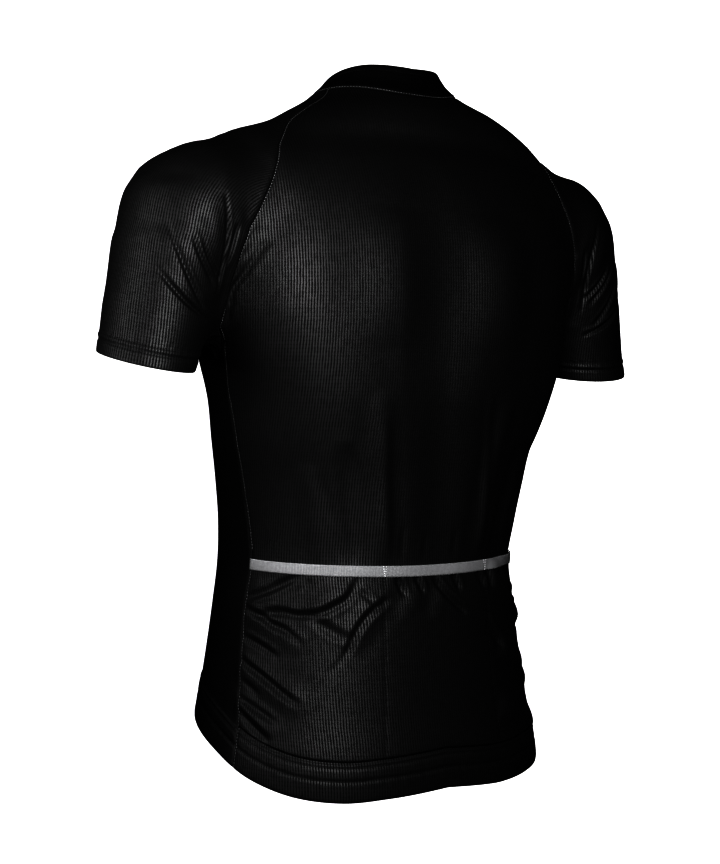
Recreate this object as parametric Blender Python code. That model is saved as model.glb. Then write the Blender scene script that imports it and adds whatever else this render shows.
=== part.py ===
"""A short-sleeved cycling jersey in its worn form, hollow, with nobody in it.

Sizes are in millimetres and go to metres where a mesh is made. The wearer faces -Y, the wearer's
left is +X and up is +Z. The origin is the base of the neck, where the shoulders hold the jersey.
"""
import math

import bmesh
import bpy
import numpy as np

MM = 0.001


def table(columns, *rows):
    """A table with named columns, as one array for each column."""
    return dict(zip(columns.split(), np.array(rows, float).T))


# ---- the general figure that fills the jersey ----
# Level sections of the trunk and neck, from under the hem to inside the collar. Width is half
# the whole, back and front are depths from the centre, and round is the power of the curve,
# 2 for an ellipse and more for a squarer one.
TRUNK = table(
    "level width centre back front back_round front_round",
    (-720, 187, -19, 142, 140, 2.4, 2.2),
    (-660, 187, -18, 141, 140, 2.4, 2.2),
    (-600, 175, -18, 133, 138, 2.4, 2.2),
    (-543, 165, -18, 128, 133, 2.4, 2.2),
    (-500, 159, -18, 126, 128, 2.4, 2.2),
    (-461, 154, -18, 122, 125, 2.4, 2.2),
    (-420, 156, -14, 121, 124, 2.5, 2.2),
    (-378, 163, -9, 121, 124, 2.6, 2.2),
    (-337, 173, -2, 122, 124, 2.7, 2.2),
    (-296, 182, 4, 124, 124, 2.8, 2.2),
    (-250, 198, 8, 125, 124, 2.8, 2.2),
    (-210, 210, 10, 125, 121, 2.8, 2.2),
    (-170, 215, 14, 121, 115, 2.7, 2.2),
    (-130, 213, 19, 113, 107, 2.5, 2.2),
    (-95, 208, 24, 100, 96, 2.3, 2.1),
    (-65, 194, 28, 84, 86, 2.2, 2.0),
    (-44, 176, 30, 71, 76, 2.1, 2.0),
    (-26, 151, 29, 69, 68, 2.0, 2.0),
    (-10, 121, 26, 66, 60, 2.0, 2.0),
    (5, 88, 22, 60, 54, 2.0, 2.0),
    (18, 70, 20, 54, 49, 2.0, 2.0),
    (32, 60, 18, 51, 46, 2.0, 2.0),
    (60, 54, 12, 48, 44, 2.0, 2.0),
)
# The left arm, from the shoulder down: the centre line, and the arm's half width and half depth.
ARM = table(
    "out back level width depth",
    (172, 23, -94, 50, 60),
    (223, 17, -114, 62, 72),
    (247, 15, -160, 57, 66),
    (262, 14, -215, 51, 57),
    (276, 14, -268, 45, 50),
    (287, 14, -320, 44, 49),
)
ARM_BLEND = 34.0  # how widely the arm runs into the trunk


def curve_at(where, sections, column, key):
    """One column of a table at any place along its key column, as a smooth curve."""
    xs, ys = sections[key], sections[column]
    slope = np.gradient(ys, xs)
    k = np.clip(np.searchsorted(xs, where) - 1, 0, len(xs) - 2)
    span = xs[k + 1] - xs[k]
    t = np.clip((where - xs[k]) / span, 0.0, 1.0)
    rise = ys[k + 1] - ys[k]
    bend = t * (1 - t) * ((1 - t) * (slope[k] * span - rise) - t * (slope[k + 1] * span - rise))
    return ys[k] + rise * t + bend


def outside_trunk(p):
    """Roughly how far a point lies outside the trunk, less than nothing inside it."""
    x, y, z = p[..., 0], p[..., 1], p[..., 2]
    width, centre, back, front, back_round, front_round = (
        curve_at(z, TRUNK, name, "level")
        for name in ("width", "centre", "back", "front", "back_round", "front_round"))
    y = y - centre
    depth = np.where(y > 0, back, front)
    power = np.where(y > 0, back_round, front_round)
    size = ((np.abs(x) / width) ** power + (np.abs(y) / depth) ** power + 1e-9) ** (1 / power)
    return np.hypot(x, y) * (1 - 1 / size)


def arm_line():
    """The arm's centre points, and each one's length along the arm."""
    points = np.stack([ARM["out"], ARM["back"], ARM["level"]], -1)
    steps = np.linalg.norm(np.diff(points, axis=0), axis=1)
    return points, np.concatenate([[0.0], np.cumsum(steps)])


def outside_arm(here):
    """Roughly how far a point lies outside the left arm."""
    points, along = arm_line()
    sections = dict(ARM, along=along)
    nearest = np.full(here.shape[:-1], 1e9)
    place = np.zeros(here.shape[:-1])
    for k in range(len(points) - 1):
        length = along[k + 1] - along[k]
        step = (points[k + 1] - points[k]) / length
        t = np.clip((here - points[k]) @ step, 0, length)
        gap = np.linalg.norm(here - points[k] - t[..., None] * step, axis=-1)
        closer = gap < nearest
        nearest, place = np.where(closer, gap, nearest), np.where(closer, along[k] + t, place)
    centre = np.stack([curve_at(place, sections, name, "along")
                       for name in ("out", "back", "level")], -1)
    off = here - centre
    aside = np.hypot(off[..., 0], off[..., 2])
    size = np.hypot(aside / curve_at(place, sections, "width", "along"),
                    off[..., 1] / curve_at(place, sections, "depth", "along"))
    return np.linalg.norm(off, axis=-1) * (1 - 1 / np.maximum(size, 1e-3))


def outside_figure(p):
    """How far points lie outside the figure: trunk, neck and both arms, run together."""
    up = np.array([0.0, 0.0, 1.0])
    trunk = outside_trunk(p)
    lean = (outside_trunk(p + up) - outside_trunk(p - up)) / 2
    trunk = trunk / np.hypot(1.0, lean)
    arm = outside_arm(np.concatenate([np.abs(p[..., :1]), p[..., 1:]], -1))
    share = np.clip(0.5 + 0.5 * (arm - trunk) / ARM_BLEND, 0, 1)
    return arm * (1 - share) + trunk * share - ARM_BLEND * share * (1 - share)


# ---- panels ----
CLOTH = 1.3  # the knit's wall, whose outer face is the figure
HEM_CLOTH = 2.7  # the turned hem, two layers and its stitching
CUFF_CLOTH = 2.2
COLLAR_CLOTH = 2.0
SEAM = 0.3  # between two pieces
LAID = 0.3  # between a panel and what lies on it

HEM_DEPTH, HEM_STEP = 34.0, 4.0
BAND_BACK, BAND_RISE, BAND_WIDTH = -460.0, 16.0, 11.5
SWING = 0.022  # the lower edges hang lower on the left, by this share of the way out
UNDERARM = -236.0
ARMHOLE_DIP, ARMHOLE_IN = 24.0, 6.0  # how far the armhole sinks and draws in under the arm
UNDER_WIDE = 18.0  # the angle of the front's part under the armhole, at the hem
UNDER_SHARE, UNDER_EASE = 0.8, 6  # how much its rows follow the armhole's dip, and how late
BACK_EASE, FRONT_EASE = 3, 2  # how late the rows of a panel bend to the collar's seam
NECK_BACK = 20.0  # the neck's axis, behind the trunk's
ZIP_GAP = 8.0  # between the fronts' edges

# Seams, as angles round the body from the centre back.
SIDE_SEAM = table(
    "level angle",
    (-690, 84), (-640, 83.5), (-560, 87), (-500, 88.5), (-454, 87.5), (-400, 88),
    (-324, 86.5), (-290, 86), (-262, 83), (-236, 80),
)
BACK_RAGLAN = table(
    "level angle",
    (-236, 80), (-208, 74.7), (-191, 73.2), (-167, 70.4), (-143, 67.9), (-119, 66),
    (-81, 65.3), (-54, 67), (-30, 71), (-4, 75), (11, 83),
)
FRONT_RAGLAN = table(
    "level angle",
    (-236, 92.5), (-215, 97), (-190, 100.5), (-160, 103), (-120, 104.5), (-80, 105),
    (-45, 106), (-20, 108), (4, 112),
)
# The hem's level, by the angle round the body from the centre back.
HEM = table(
    "angle level",
    (0, -677), (30, -681), (48, -682), (62, -676), (76, -662), (92, -642), (110, -627),
    (126, -617), (150, -610), (180, -607),
)
# The collar's two edges, by the angle round the neck from the centre back.
COLLAR = table(
    "angle seam top",
    (0, 3.5, 33), (20, 4.5, 34), (40, 7.5, 35), (60, 10.5, 35), (83, 11, 31), (97, 9.5, 26),
    (112, 4, 19), (130, -13, 10), (150, -32, 1), (180, -42, -7),
)
# The middle of the sleeve: where its rows fan out from, and how steeply they look up.
SLEEVE_FAN = table(
    "share out back level rise",
    (0.0, 262, 12, -225, 15), (0.25, 244, 13, -165, 25), (0.5, 205, 18, -112, 50),
    (0.7, 150, 22, -80, 74), (0.85, 105, 24, -52, 74), (1.0, 62, 22, -25, 52),
)
CUFF_CENTRE, CUFF_LEAN, CUFF_TIP = (275.0, 12.0, -264.5), 14.0, 4.0
CUFF_INNER = 28.0  # half the angle of the cuff that faces the trunk

LOW_ROWS = dict(hem=2, step=1, pocket=8, band=1, back=12)
ARM_ROWS = 16
BACK_COLUMNS, FRONT_COLUMNS, CAP_COLUMNS, INNER_COLUMNS = 24, 12, 20, 4
SLEEVE_SHARES = (0.0, 0.2, 0.4, 0.46, 0.7, 1.0)  # rows from the cuff to the armhole
SLEEVE_HEM_ROWS = 2
COLLAR_ROWS = 3

# ---- folds ----
# Soft rises and troughs of the trunk on both sides: the shoulder blades, the hollow of the
# back and the folds that stand up from the pocket's two inner seams.
TRUNK_FORM = table(
    "angle1 level1 angle2 level2 reach depth",
    (34, -130, 40, -265, 105, 5),
    (0, -70, 0, -480, 60, -5),
    (30, -462, 33, -290, 30, 2.6),
    (44, -462, 46, -340, 28, -2.4),
    (58, -462, 60, -360, 26, 1.6),
)
# Folds of the pockets: from one place round the body to another.
POCKET_FOLDS = table(
    "angle1 level1 angle2 level2 reach depth",
    (46, -478, 62, -506, 30, 3.4), (64, -506, 86, -486, 30, 2.6),
    (88, -503, 62, -536, 30, 3.4),
    (33, -490, 48, -540, 30, 3.6),
    (88, -552, 60, -598, 32, 4.2),
    (87, -590, 68, -620, 26, 3.0),
    (20, -474, 28, -510, 24, -2.6), (2, -474, 9, -512, 24, -2.4),
    (-36, -468, -62, -510, 34, 3.8), (-40, -545, -64, -572, 34, 3.8),
    (-36, -604, -66, -634, 36, 4.2), (-88, -486, -64, -530, 30, 3.2),
    (-88, -556, -62, -598, 32, 3.6),
)
# Creases that run out from the underarm on both sleeves.
SLEEVE_FOLDS = table(
    "out1 back1 level1 out2 back2 level2 reach depth",
    (292, 56, -172, 240, 66, -222, 30, -4.2),
    (280, 63, -132, 246, 72, -206, 28, -4.4),
    (256, 80, -134, 230, 73, -196, 24, -3.6),
    (232, 88, -108, 222, 68, -192, 24, -3.2),
    (200, 86, -148, 222, 56, -216, 26, -3.2),
    (272, -48, -150, 236, -45, -214, 30, -4.2),
    (240, -60, -115, 222, -46, -195, 28, -3.6),
)


def unit(v):
    return v / np.maximum(np.linalg.norm(v, axis=-1, keepdims=True), 1e-9)


def facing(p):
    """The figure's outward direction at each point."""
    h = 1.0
    return unit(np.stack([outside_figure(p + h * e) - outside_figure(p - h * e)
                          for e in np.eye(3)], -1))


def settle(p, steps=6):
    """Move points straight onto the figure."""
    for _ in range(steps):
        p = p - outside_figure(p)[..., None] * facing(p)
    return p


def shoot(outside, origin, way, start=25.0, far=400.0, march=45, narrow=7):
    """Where rays from inside a body first come out of it."""
    origin, way = np.broadcast_arrays(origin, way)
    shape = way.shape
    origin, way = origin.reshape(-1, 3), way.reshape(-1, 3)
    near, out = np.full(len(way), start), np.full(len(way), far)
    inside, beyond = np.full(len(way), -1.0), np.full(len(way), 1.0)
    going = np.arange(len(way))
    for t in np.linspace(start, far, march):
        gap = outside(origin[going] + way[going] * t)
        out[going], beyond[going] = t, gap
        going, gap = going[gap <= 0], gap[gap <= 0]
        near[going], inside[going] = t, gap
    for _ in range(narrow):
        share = np.clip(inside / (inside - beyond), 0.05, 0.95)
        t = near + (out - near) * share
        gap = outside(origin + way * t[:, None])
        low = gap <= 0
        near, inside = np.where(low, t, near), np.where(low, gap, inside)
        out, beyond = np.where(low, out, t), np.where(low, beyond, gap)
    t = near + (out - near) * inside / (inside - beyond)
    return (origin + way * t[:, None]).reshape(shape)


def axis_back(level):
    """The axis that angles are taken round: the trunk's, leaning back to the neck's."""
    return NECK_BACK * np.clip((level + 60) / 60, 0, 1)


def around(angle, level):
    """Points of the figure at angles round the body from the centre back, and levels."""
    angle, level = np.broadcast_arrays(np.radians(angle), np.asarray(level, float))
    origin = np.stack([0 * level, axis_back(level), level], -1)
    way = np.stack([np.sin(angle), np.cos(angle), 0 * level], -1)
    return settle(shoot(outside_trunk, origin, way))


def low_rows(angle):
    """Levels of the rows from the hem to the underarm, at each angle."""
    angle = np.asarray(angle, float)
    swing = SWING * TRUNK["width"].min() * np.sin(np.radians(angle))
    hem = curve_at(np.abs(angle), HEM, "level", "angle") - swing
    band = BAND_BACK + BAND_RISE * (1 - np.cos(np.radians(angle))) / 2 - swing
    stations = [hem, hem + HEM_DEPTH, hem + HEM_DEPTH + HEM_STEP, band - BAND_WIDTH, band,
                UNDERARM + 0 * hem]
    rows = [stations[0]]
    for start, end, count in zip(stations, stations[1:], LOW_ROWS.values()):
        rows += [start + (end - start) * (k + 1) / count for k in range(count)]
    return np.array(rows)


LOW = sum(LOW_ROWS.values())
POCKET_FOOT = LOW_ROWS["hem"] + LOW_ROWS["step"]
BAND_FOOT = POCKET_FOOT + LOW_ROWS["pocket"]
BAND_TOP = BAND_FOOT + LOW_ROWS["band"]


def side_seam_angles():
    """The side seam's angle at each low row."""
    angle = np.full(LOW + 1, SIDE_SEAM["angle"].mean())
    for _ in range(4):
        level = np.diagonal(low_rows(angle))
        angle = curve_at(level, SIDE_SEAM, "angle", "level")
    return angle


def raglan(seam):
    """Angles and levels of the armhole's rows from the underarm to the collar, evenly spread."""
    level = np.linspace(seam["level"][0], seam["level"][-1], 80)
    points = around(curve_at(level, seam, "angle", "level"), level)
    run = np.concatenate([[0], np.cumsum(np.linalg.norm(np.diff(points, axis=0), axis=1))])
    level = np.interp(np.linspace(0, run[-1], ARM_ROWS + 1), run, level)
    return curve_at(level, seam, "angle", "level"), level


def collar_level(angle, edge):
    return curve_at(np.abs(angle), COLLAR, edge, "angle")


def zip_angle(level, half_gap):
    """The angle at which the front is half_gap from its middle."""
    depth = np.linalg.norm(around(180.0, level)[..., :2]
                           - np.stack([0 * level, axis_back(level)], -1), axis=-1)
    return 180 - np.degrees(np.arcsin(half_gap / depth))


def back_grid():
    """The back panel, a row from right to left at each level."""
    side = side_seam_angles()
    angle, level = raglan(BACK_RAGLAN)
    t = np.linspace(-1, 1, BACK_COLUMNS + 1)
    low_angle = side[:, None] * t
    low_level = np.stack([low_rows(a)[k] for k, a in enumerate(low_angle)])
    top_angle = angle[1:, None] * t
    share = np.linspace(0, 1, ARM_ROWS + 1)[1:, None] ** BACK_EASE
    top_level = level[1:, None] + share * (collar_level(top_angle, "seam") - level[-1])
    return around(np.concatenate([low_angle, top_angle]), np.concatenate([low_level, top_level]))


def under_curve():
    """The armhole's dip under the left arm, from the side seam forward."""
    back, front = (around(seam["angle"][0], UNDERARM) for seam in (BACK_RAGLAN, FRONT_RAGLAN))
    t = np.linspace(0, 1, INNER_COLUMNS + 1)[:, None]
    dip = np.sin(math.pi * t) * np.array([-ARMHOLE_IN, 0.0, -ARMHOLE_DIP])
    points = settle(back * (1 - t) + front * t + dip)
    points[0], points[-1] = back, front
    return points


def front_grids():
    """The left front: the part under the armhole, and the part from the armhole to the zip."""
    side = side_seam_angles()
    angle, level = raglan(FRONT_RAGLAN)
    edge = np.interp(np.arange(LOW + 1), [0, LOW], [side[0] + UNDER_WIDE, angle[0]])
    t = np.linspace(0, 1, INNER_COLUMNS + 1)
    under_angle = side[:, None] + (edge - side)[:, None] * t
    under_level = np.stack([low_rows(a)[k] for k, a in enumerate(under_angle)])
    last = under_curve()
    soft = np.linspace(0, 1, LOW + 1)[:-1, None] ** UNDER_EASE
    down = (last[:, 2] - last[0, 2] - (last[-1, 2] - last[0, 2]) * t) * UNDER_SHARE
    under = around(under_angle[:-1], under_level[:-1] + soft * down)
    under = np.concatenate([under, last[None]])

    centre = np.concatenate([low_rows(180.0)[:-1],
                             np.linspace(UNDERARM, COLLAR["seam"][-1], ARM_ROWS + 1)])
    zip_side = zip_angle(centre, ZIP_GAP / 2)
    t = np.linspace(0, 1, FRONT_COLUMNS + 1)
    start = np.concatenate([edge[:-1], angle])
    wide = start[:, None] + (zip_side - start)[:, None] * t
    low_level = np.stack([low_rows(a)[k] for k, a in enumerate(wide[:LOW])])
    straight = level[:, None] + (centre[LOW:] - level)[:, None] * t
    share = np.linspace(0, 1, ARM_ROWS + 1)[:, None] ** FRONT_EASE
    top_level = straight + share * (collar_level(wide[-1], "seam") - straight[-1])
    return under, around(wide, np.concatenate([low_level, top_level]))


def sleeve_grids():
    """The left sleeve: the tube from the cuff to the underarm, and the cap up to the collar."""
    back = around(*raglan(BACK_RAGLAN))
    front = around(*raglan(FRONT_RAGLAN))
    share = np.linspace(0, 1, ARM_ROWS + 1)
    fan = {name: curve_at(share, SLEEVE_FAN, name, "share")
           for name in ("out", "back", "level", "rise")}
    middle = np.stack([fan["out"], fan["back"], fan["level"]], -1)
    rise = np.radians(fan["rise"])
    top = np.stack([np.cos(rise), 0 * rise, np.sin(rise)], -1)
    half = np.linspace(0, 1, CAP_COLUMNS // 2 + 1)[:, None]

    def turn(a, b):
        """Directions from a to b, turning evenly."""
        angle = np.arccos(np.clip((a * b).sum(-1), -1, 1))[:, None, None]
        return (np.sin((1 - half) * angle) * a[:, None]
                + np.sin(half * angle) * b[:, None]) / np.sin(angle)

    first = turn(unit(back - middle), top)
    second = turn(top, unit(front - middle))
    cap = shoot(outside_figure, middle[:, None], unit(np.concatenate([first, second[:, 1:]], axis=1)))
    neck = np.linspace(BACK_RAGLAN["angle"][-1], FRONT_RAGLAN["angle"][-1], CAP_COLUMNS + 1)
    cap[-1] = around(neck, collar_level(neck, "seam"))
    cap[:, 0], cap[:, -1] = back, front

    under = under_curve()
    ring = np.concatenate([cap[0], under[::-1][1:]])
    psi = np.radians(np.concatenate([
        np.linspace(180 - CUFF_INNER, CUFF_INNER - 180, CAP_COLUMNS + 1),
        np.linspace(CUFF_INNER - 180, -180 - CUFF_INNER, INNER_COLUMNS + 1)[1:]]))
    lean = math.radians(CUFF_LEAN)
    outward = np.array([math.cos(lean), 0, math.sin(lean)])
    tip = math.radians(CUFF_TIP)
    backward = np.array([0, math.cos(tip), -math.sin(tip)])
    way = np.cos(psi)[:, None] * outward + np.sin(psi)[:, None] * backward
    cuff = shoot(outside_figure, np.array(CUFF_CENTRE), way)
    tube = [cuff]
    for s in SLEEVE_SHARES[1:-1]:
        tube.append(settle(cuff * (1 - s) + ring * s))
    tube.append(ring)
    tube = np.stack(tube)
    tube[:, -1] = tube[:, 0]
    return tube, cap


def collar_grid(back, cap, front):
    """The collar, from one front edge round the back to the other, on the panels' top rows."""
    left = np.concatenate([cap[1:], front[1:]])
    mirror = np.array([-1, 1, 1])
    seam = np.concatenate([(left * mirror)[::-1], back, left])
    angle = np.degrees(np.arctan2(seam[:, 0], seam[:, 1] - NECK_BACK))
    level = collar_level(angle, "top")
    edge = around(angle, level)
    edge[0, 0], edge[-1, 0] = -ZIP_GAP / 2, ZIP_GAP / 2
    t = np.linspace(0, 1, COLLAR_ROWS + 1)[:, None, None]
    rows = settle(seam * (1 - t) + edge * t, 4)
    rows[0], rows[-1] = seam, edge
    return rows


def along_line(p, a, b, reach, depth):
    """A soft fold's rise at points: a trough with low shoulders, or a rise, fading at its ends."""
    run = b - a
    t = np.clip(((p - a) @ run) / (run @ run), 0, 1)
    q = np.linalg.norm(p - a - t[..., None] * run, axis=-1) / reach
    across = np.where(q < 1, np.cos(math.pi * np.minimum(q, 1)) * (1 - q ** 2) ** 2, 0)
    return depth * across * (1 - (2 * t - 1) ** 4)


def fold_lines():
    """Every fold's two ends, reach, depth and whether it is on both sides."""
    lines = []
    for folds_round, both in ((TRUNK_FORM, True), (POCKET_FOLDS, False)):
        ends = [around(folds_round[f"angle{k}"], folds_round[f"level{k}"]) for k in (1, 2)]
        lines += [(*row, both) for row in zip(*ends, folds_round["reach"], folds_round["depth"])]
    ends = [np.stack([SLEEVE_FOLDS[f"{name}{k}"] for name in ("out", "back", "level")], -1)
            for k in (1, 2)]
    lines += [(*row, True) for row in zip(*ends, SLEEVE_FOLDS["reach"], SLEEVE_FOLDS["depth"])]
    return lines


def folds(p, lines):
    """How far the cloth stands off the figure at each point, from all its folds."""
    both = p * np.where(p[..., :1] < 0, np.array([-1.0, 1, 1]), 1.0)
    return sum(along_line(both if two_sided else p, a, b, reach, depth)
               for a, b, reach, depth, two_sided in lines)


# ---- meshes ----
def material(name, colour, roughness, metallic=0.0):
    made = bpy.data.materials.new(name)
    made.use_nodes = True
    shader = made.node_tree.nodes["Principled BSDF"]
    shader.inputs["Base Color"].default_value = (*colour, 1)
    shader.inputs["Roughness"].default_value = roughness
    shader.inputs["Metallic"].default_value = metallic
    return made


def add_object(name, bm, collection, look):
    mesh = bpy.data.meshes.new(name)
    bm.to_mesh(mesh)
    bm.free()
    mesh.polygons.foreach_set("use_smooth", [True] * len(mesh.polygons))
    mesh.materials.append(look)
    made = bpy.data.objects.new(name, mesh)
    collection.objects.link(made)
    return made


def lay_grid(bm, inner, outer, way):
    """Add a grid of cloth: its inner points, with the outer ones and their directions noted."""
    rows, columns = inner.shape[:2]
    made = bmesh.ops.create_grid(bm, x_segments=columns - 1, y_segments=rows - 1, size=0.5)
    out_layer, way_layer = (bm.verts.layers.float_vector[name] for name in ("outer", "way"))
    for vert in made["verts"]:
        r = round((vert.co.y + 0.5) * (rows - 1))
        c = round((vert.co.x + 0.5) * (columns - 1))
        vert[out_layer] = outer[r, c] * MM
        vert[way_layer] = way[r, c]
        vert.co = inner[r, c] * MM


def pull_back(bm):
    """Draw every edge of a panel in by half a seam's gap."""
    out_layer, way_layer = (bm.verts.layers.float_vector[name] for name in ("outer", "way"))
    moves = []
    for vert in bm.verts:
        if not vert.is_boundary:
            continue
        across = []
        for edge in vert.link_edges:
            if edge.is_boundary:
                side = vert[way_layer].cross(edge.other_vert(vert).co - vert.co).normalized()
                inward = edge.link_faces[0].calc_center_median() - vert.co
                across.append(side if side.dot(inward) > 0 else -side)
        first, second = across
        moves.append((vert, (first + second) * (SEAM / 2 * MM / (1 + first.dot(second)))))
    for vert, move in moves:
        vert.co += move
        vert[out_layer] += move


def cloth(name, collection, look, lines, grids, walls, lift=0.0, mirrored=False):
    """A cloth piece as a closed wall: grids of the figure's points, welded where they meet."""
    bm = bmesh.new()
    for layer in ("outer", "way"):
        bm.verts.layers.float_vector.new(layer)
    for points, wall in zip(grids, walls):
        if mirrored:
            points = points * np.array([-1, 1, 1])
        way = facing(points)
        rise = folds(points, lines)[..., None] + lift - CLOTH
        lay_grid(bm, points + way * rise, points + way * (rise + wall), way)
    bmesh.ops.remove_doubles(bm, verts=bm.verts, dist=0.02 * MM)
    pull_back(bm)
    bmesh.ops.triangulate(bm, faces=bm.faces, quad_method="FIXED")
    made = bmesh.ops.extrude_face_region(bm, geom=bm.faces[:], use_keep_orig=True)
    out_layer = bm.verts.layers.float_vector["outer"]
    for part in made["geom"]:
        if isinstance(part, bmesh.types.BMVert):
            part.co = part[out_layer]
    bmesh.ops.recalc_face_normals(bm, faces=bm.faces)
    return add_object(name, bm, collection, look)


# ---- the zip ----
TAPE_HALF, TAPE_CLOTH, TAPE_UNDER = 12.0, 0.8, 1.1  # the tape's inner face lies this far under
CHAIN_HALF, CHAIN_EDGE, CHAIN_PROUD = 2.6, 0.4, 1.5
SLIDER_LEVEL = -17.0  # of the slider's middle, on the collar's front
SLIDER = dict(width=8.6, length=11.0, under=1.1, thick=1.5, edge=0.5)
KEEL = dict(width=4.4, length=9.0, under=0.55)
BAIL = dict(width=2.4, length=4.2, hole=2.4, room=2.0, bridge=0.9, edge=0.3)
PULL = dict(width=6.4, length=21.0, thick=1.1, window_width=3.8, window_length=4.6, edge=0.25)
OVERLAP = 0.4  # how far the slider's parts run into each other


def centre_levels():
    front = np.linspace(UNDERARM, COLLAR["seam"][-1], ARM_ROWS + 1)
    collar = np.linspace(COLLAR["seam"][-1], COLLAR["top"][-1], COLLAR_ROWS + 1)[1:]
    return np.concatenate([low_rows(180.0)[:-1], front, collar])


def tape_grid():
    """The zip's tape and chain, and how thick each of its columns is."""
    level = centre_levels()
    halves = [CHAIN_HALF, CHAIN_HALF + CHAIN_EDGE, (TAPE_HALF + CHAIN_HALF) / 2, TAPE_HALF]
    left = np.stack([around(zip_angle(level, x), level) for x in halves], 1)
    right = left[:, ::-1] * np.array([-1, 1, 1])
    chain = CHAIN_PROUD + TAPE_UNDER
    wall = np.array([TAPE_CLOTH] * 3 + [chain] * 2 + [TAPE_CLOTH] * 3)
    return np.concatenate([right, left], 1), np.broadcast_to(wall[:, None], (len(level), 8, 1))


def slider_frame():
    """The slider's place on the collar: its point, the way up the zip and the way out."""
    reach = SLIDER["length"] / 2
    low, point, high = around(180.0, SLIDER_LEVEL + reach * np.array([-1.0, 0, 1]))
    up = unit(high - low)
    return point, up, np.cross(up, [1.0, 0, 0]) * -1


def block(bm, frame, width, low_up, high_up, low_out, high_out):
    """A box in the slider's frame, as wide each side of the middle."""
    point, up, out = frame
    corners = bmesh.ops.create_cube(bm, size=1.0)["verts"]
    for vert in corners:
        x, u, o = vert.co
        place = (point + np.array([x * width, 0, 0])
                 + up * (low_up + (high_up - low_up) * (u + 0.5))
                 + out * (low_out + (high_out - low_out) * (o + 0.5)))
        vert.co = place * MM
    return corners


def bevel(bm, width, segments=1):
    bmesh.ops.bevel(bm, geom=bm.edges[:], offset=width * MM, offset_type="OFFSET",
                    segments=segments, profile=0.5, affect="EDGES", material=-1,
                    clamp_overlap=True)
    bmesh.ops.recalc_face_normals(bm, faces=bm.faces)


def join(target, tool, operation):
    cut = target.modifiers.new(tool.name, "BOOLEAN")
    cut.operation, cut.solver, cut.object = operation, "EXACT", tool
    tool.hide_render, tool.display_type = True, "WIRE"


def zip_slider(collection, tools, look):
    frame = slider_frame()
    half, top = SLIDER["length"] / 2, SLIDER["under"] + SLIDER["thick"]
    bm = bmesh.new()
    block(bm, frame, SLIDER["width"], -half, half, SLIDER["under"], top)
    bevel(bm, SLIDER["edge"], 2)
    slider = add_object("zip_slider", bm, collection, look)

    bm = bmesh.new()
    keel = KEEL["length"] / 2
    block(bm, frame, KEEL["width"], -keel, keel, KEEL["under"], SLIDER["under"] + OVERLAP)
    join(slider, add_object("slider_keel", bm, tools, look), "UNION")

    bm = bmesh.new()
    reach = BAIL["length"] / 2
    height = top + BAIL["room"] + BAIL["bridge"]
    block(bm, frame, BAIL["width"], -reach, reach, top - OVERLAP, height)
    bevel(bm, BAIL["edge"])
    bail = add_object("slider_bail", bm, tools, look)
    bm = bmesh.new()
    hole = BAIL["hole"] / 2
    block(bm, frame, BAIL["width"] * 2, -hole, hole, top, top + BAIL["room"])
    join(bail, add_object("bail_hole", bm, tools, look), "DIFFERENCE")
    join(slider, bail, "UNION")
    return slider


def zip_pull(collection, tools, look):
    """The pull tab, hanging down the zip, with its origin on the bail's hinge line."""
    point, up, out = slider_frame()
    axis = point + out * (SLIDER["under"] + SLIDER["thick"] + BAIL["room"] / 2)
    frame = (axis, up, out)
    half = PULL["thick"] / 2
    bm = bmesh.new()
    block(bm, frame, PULL["width"], half - PULL["length"], half, -half, half)
    bevel(bm, PULL["edge"])
    pull = add_object("zip_pull", bm, collection, look)
    bm = bmesh.new()
    thick = PULL["thick"]
    block(bm, frame, PULL["window_width"], -half - PULL["window_length"], -half, -thick, thick)
    join(pull, add_object("pull_window", bm, tools, look), "DIFFERENCE")
    for shape in (pull, tools.objects["pull_window"]):
        for vert in shape.data.vertices:
            vert.co = [c - a * MM for c, a in zip(vert.co, axis)]
        shape.location = axis * MM
    return pull


# ---- the jersey ----
def even_wall(grid, wall=CLOTH):
    return np.full((*grid.shape[:2], 1), wall)


def hemmed(grid, rows, wall):
    """A wall that is thicker in its first rows, where the edge is turned up."""
    walls = even_wall(grid)
    walls[:rows + 1] = wall
    return walls


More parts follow.
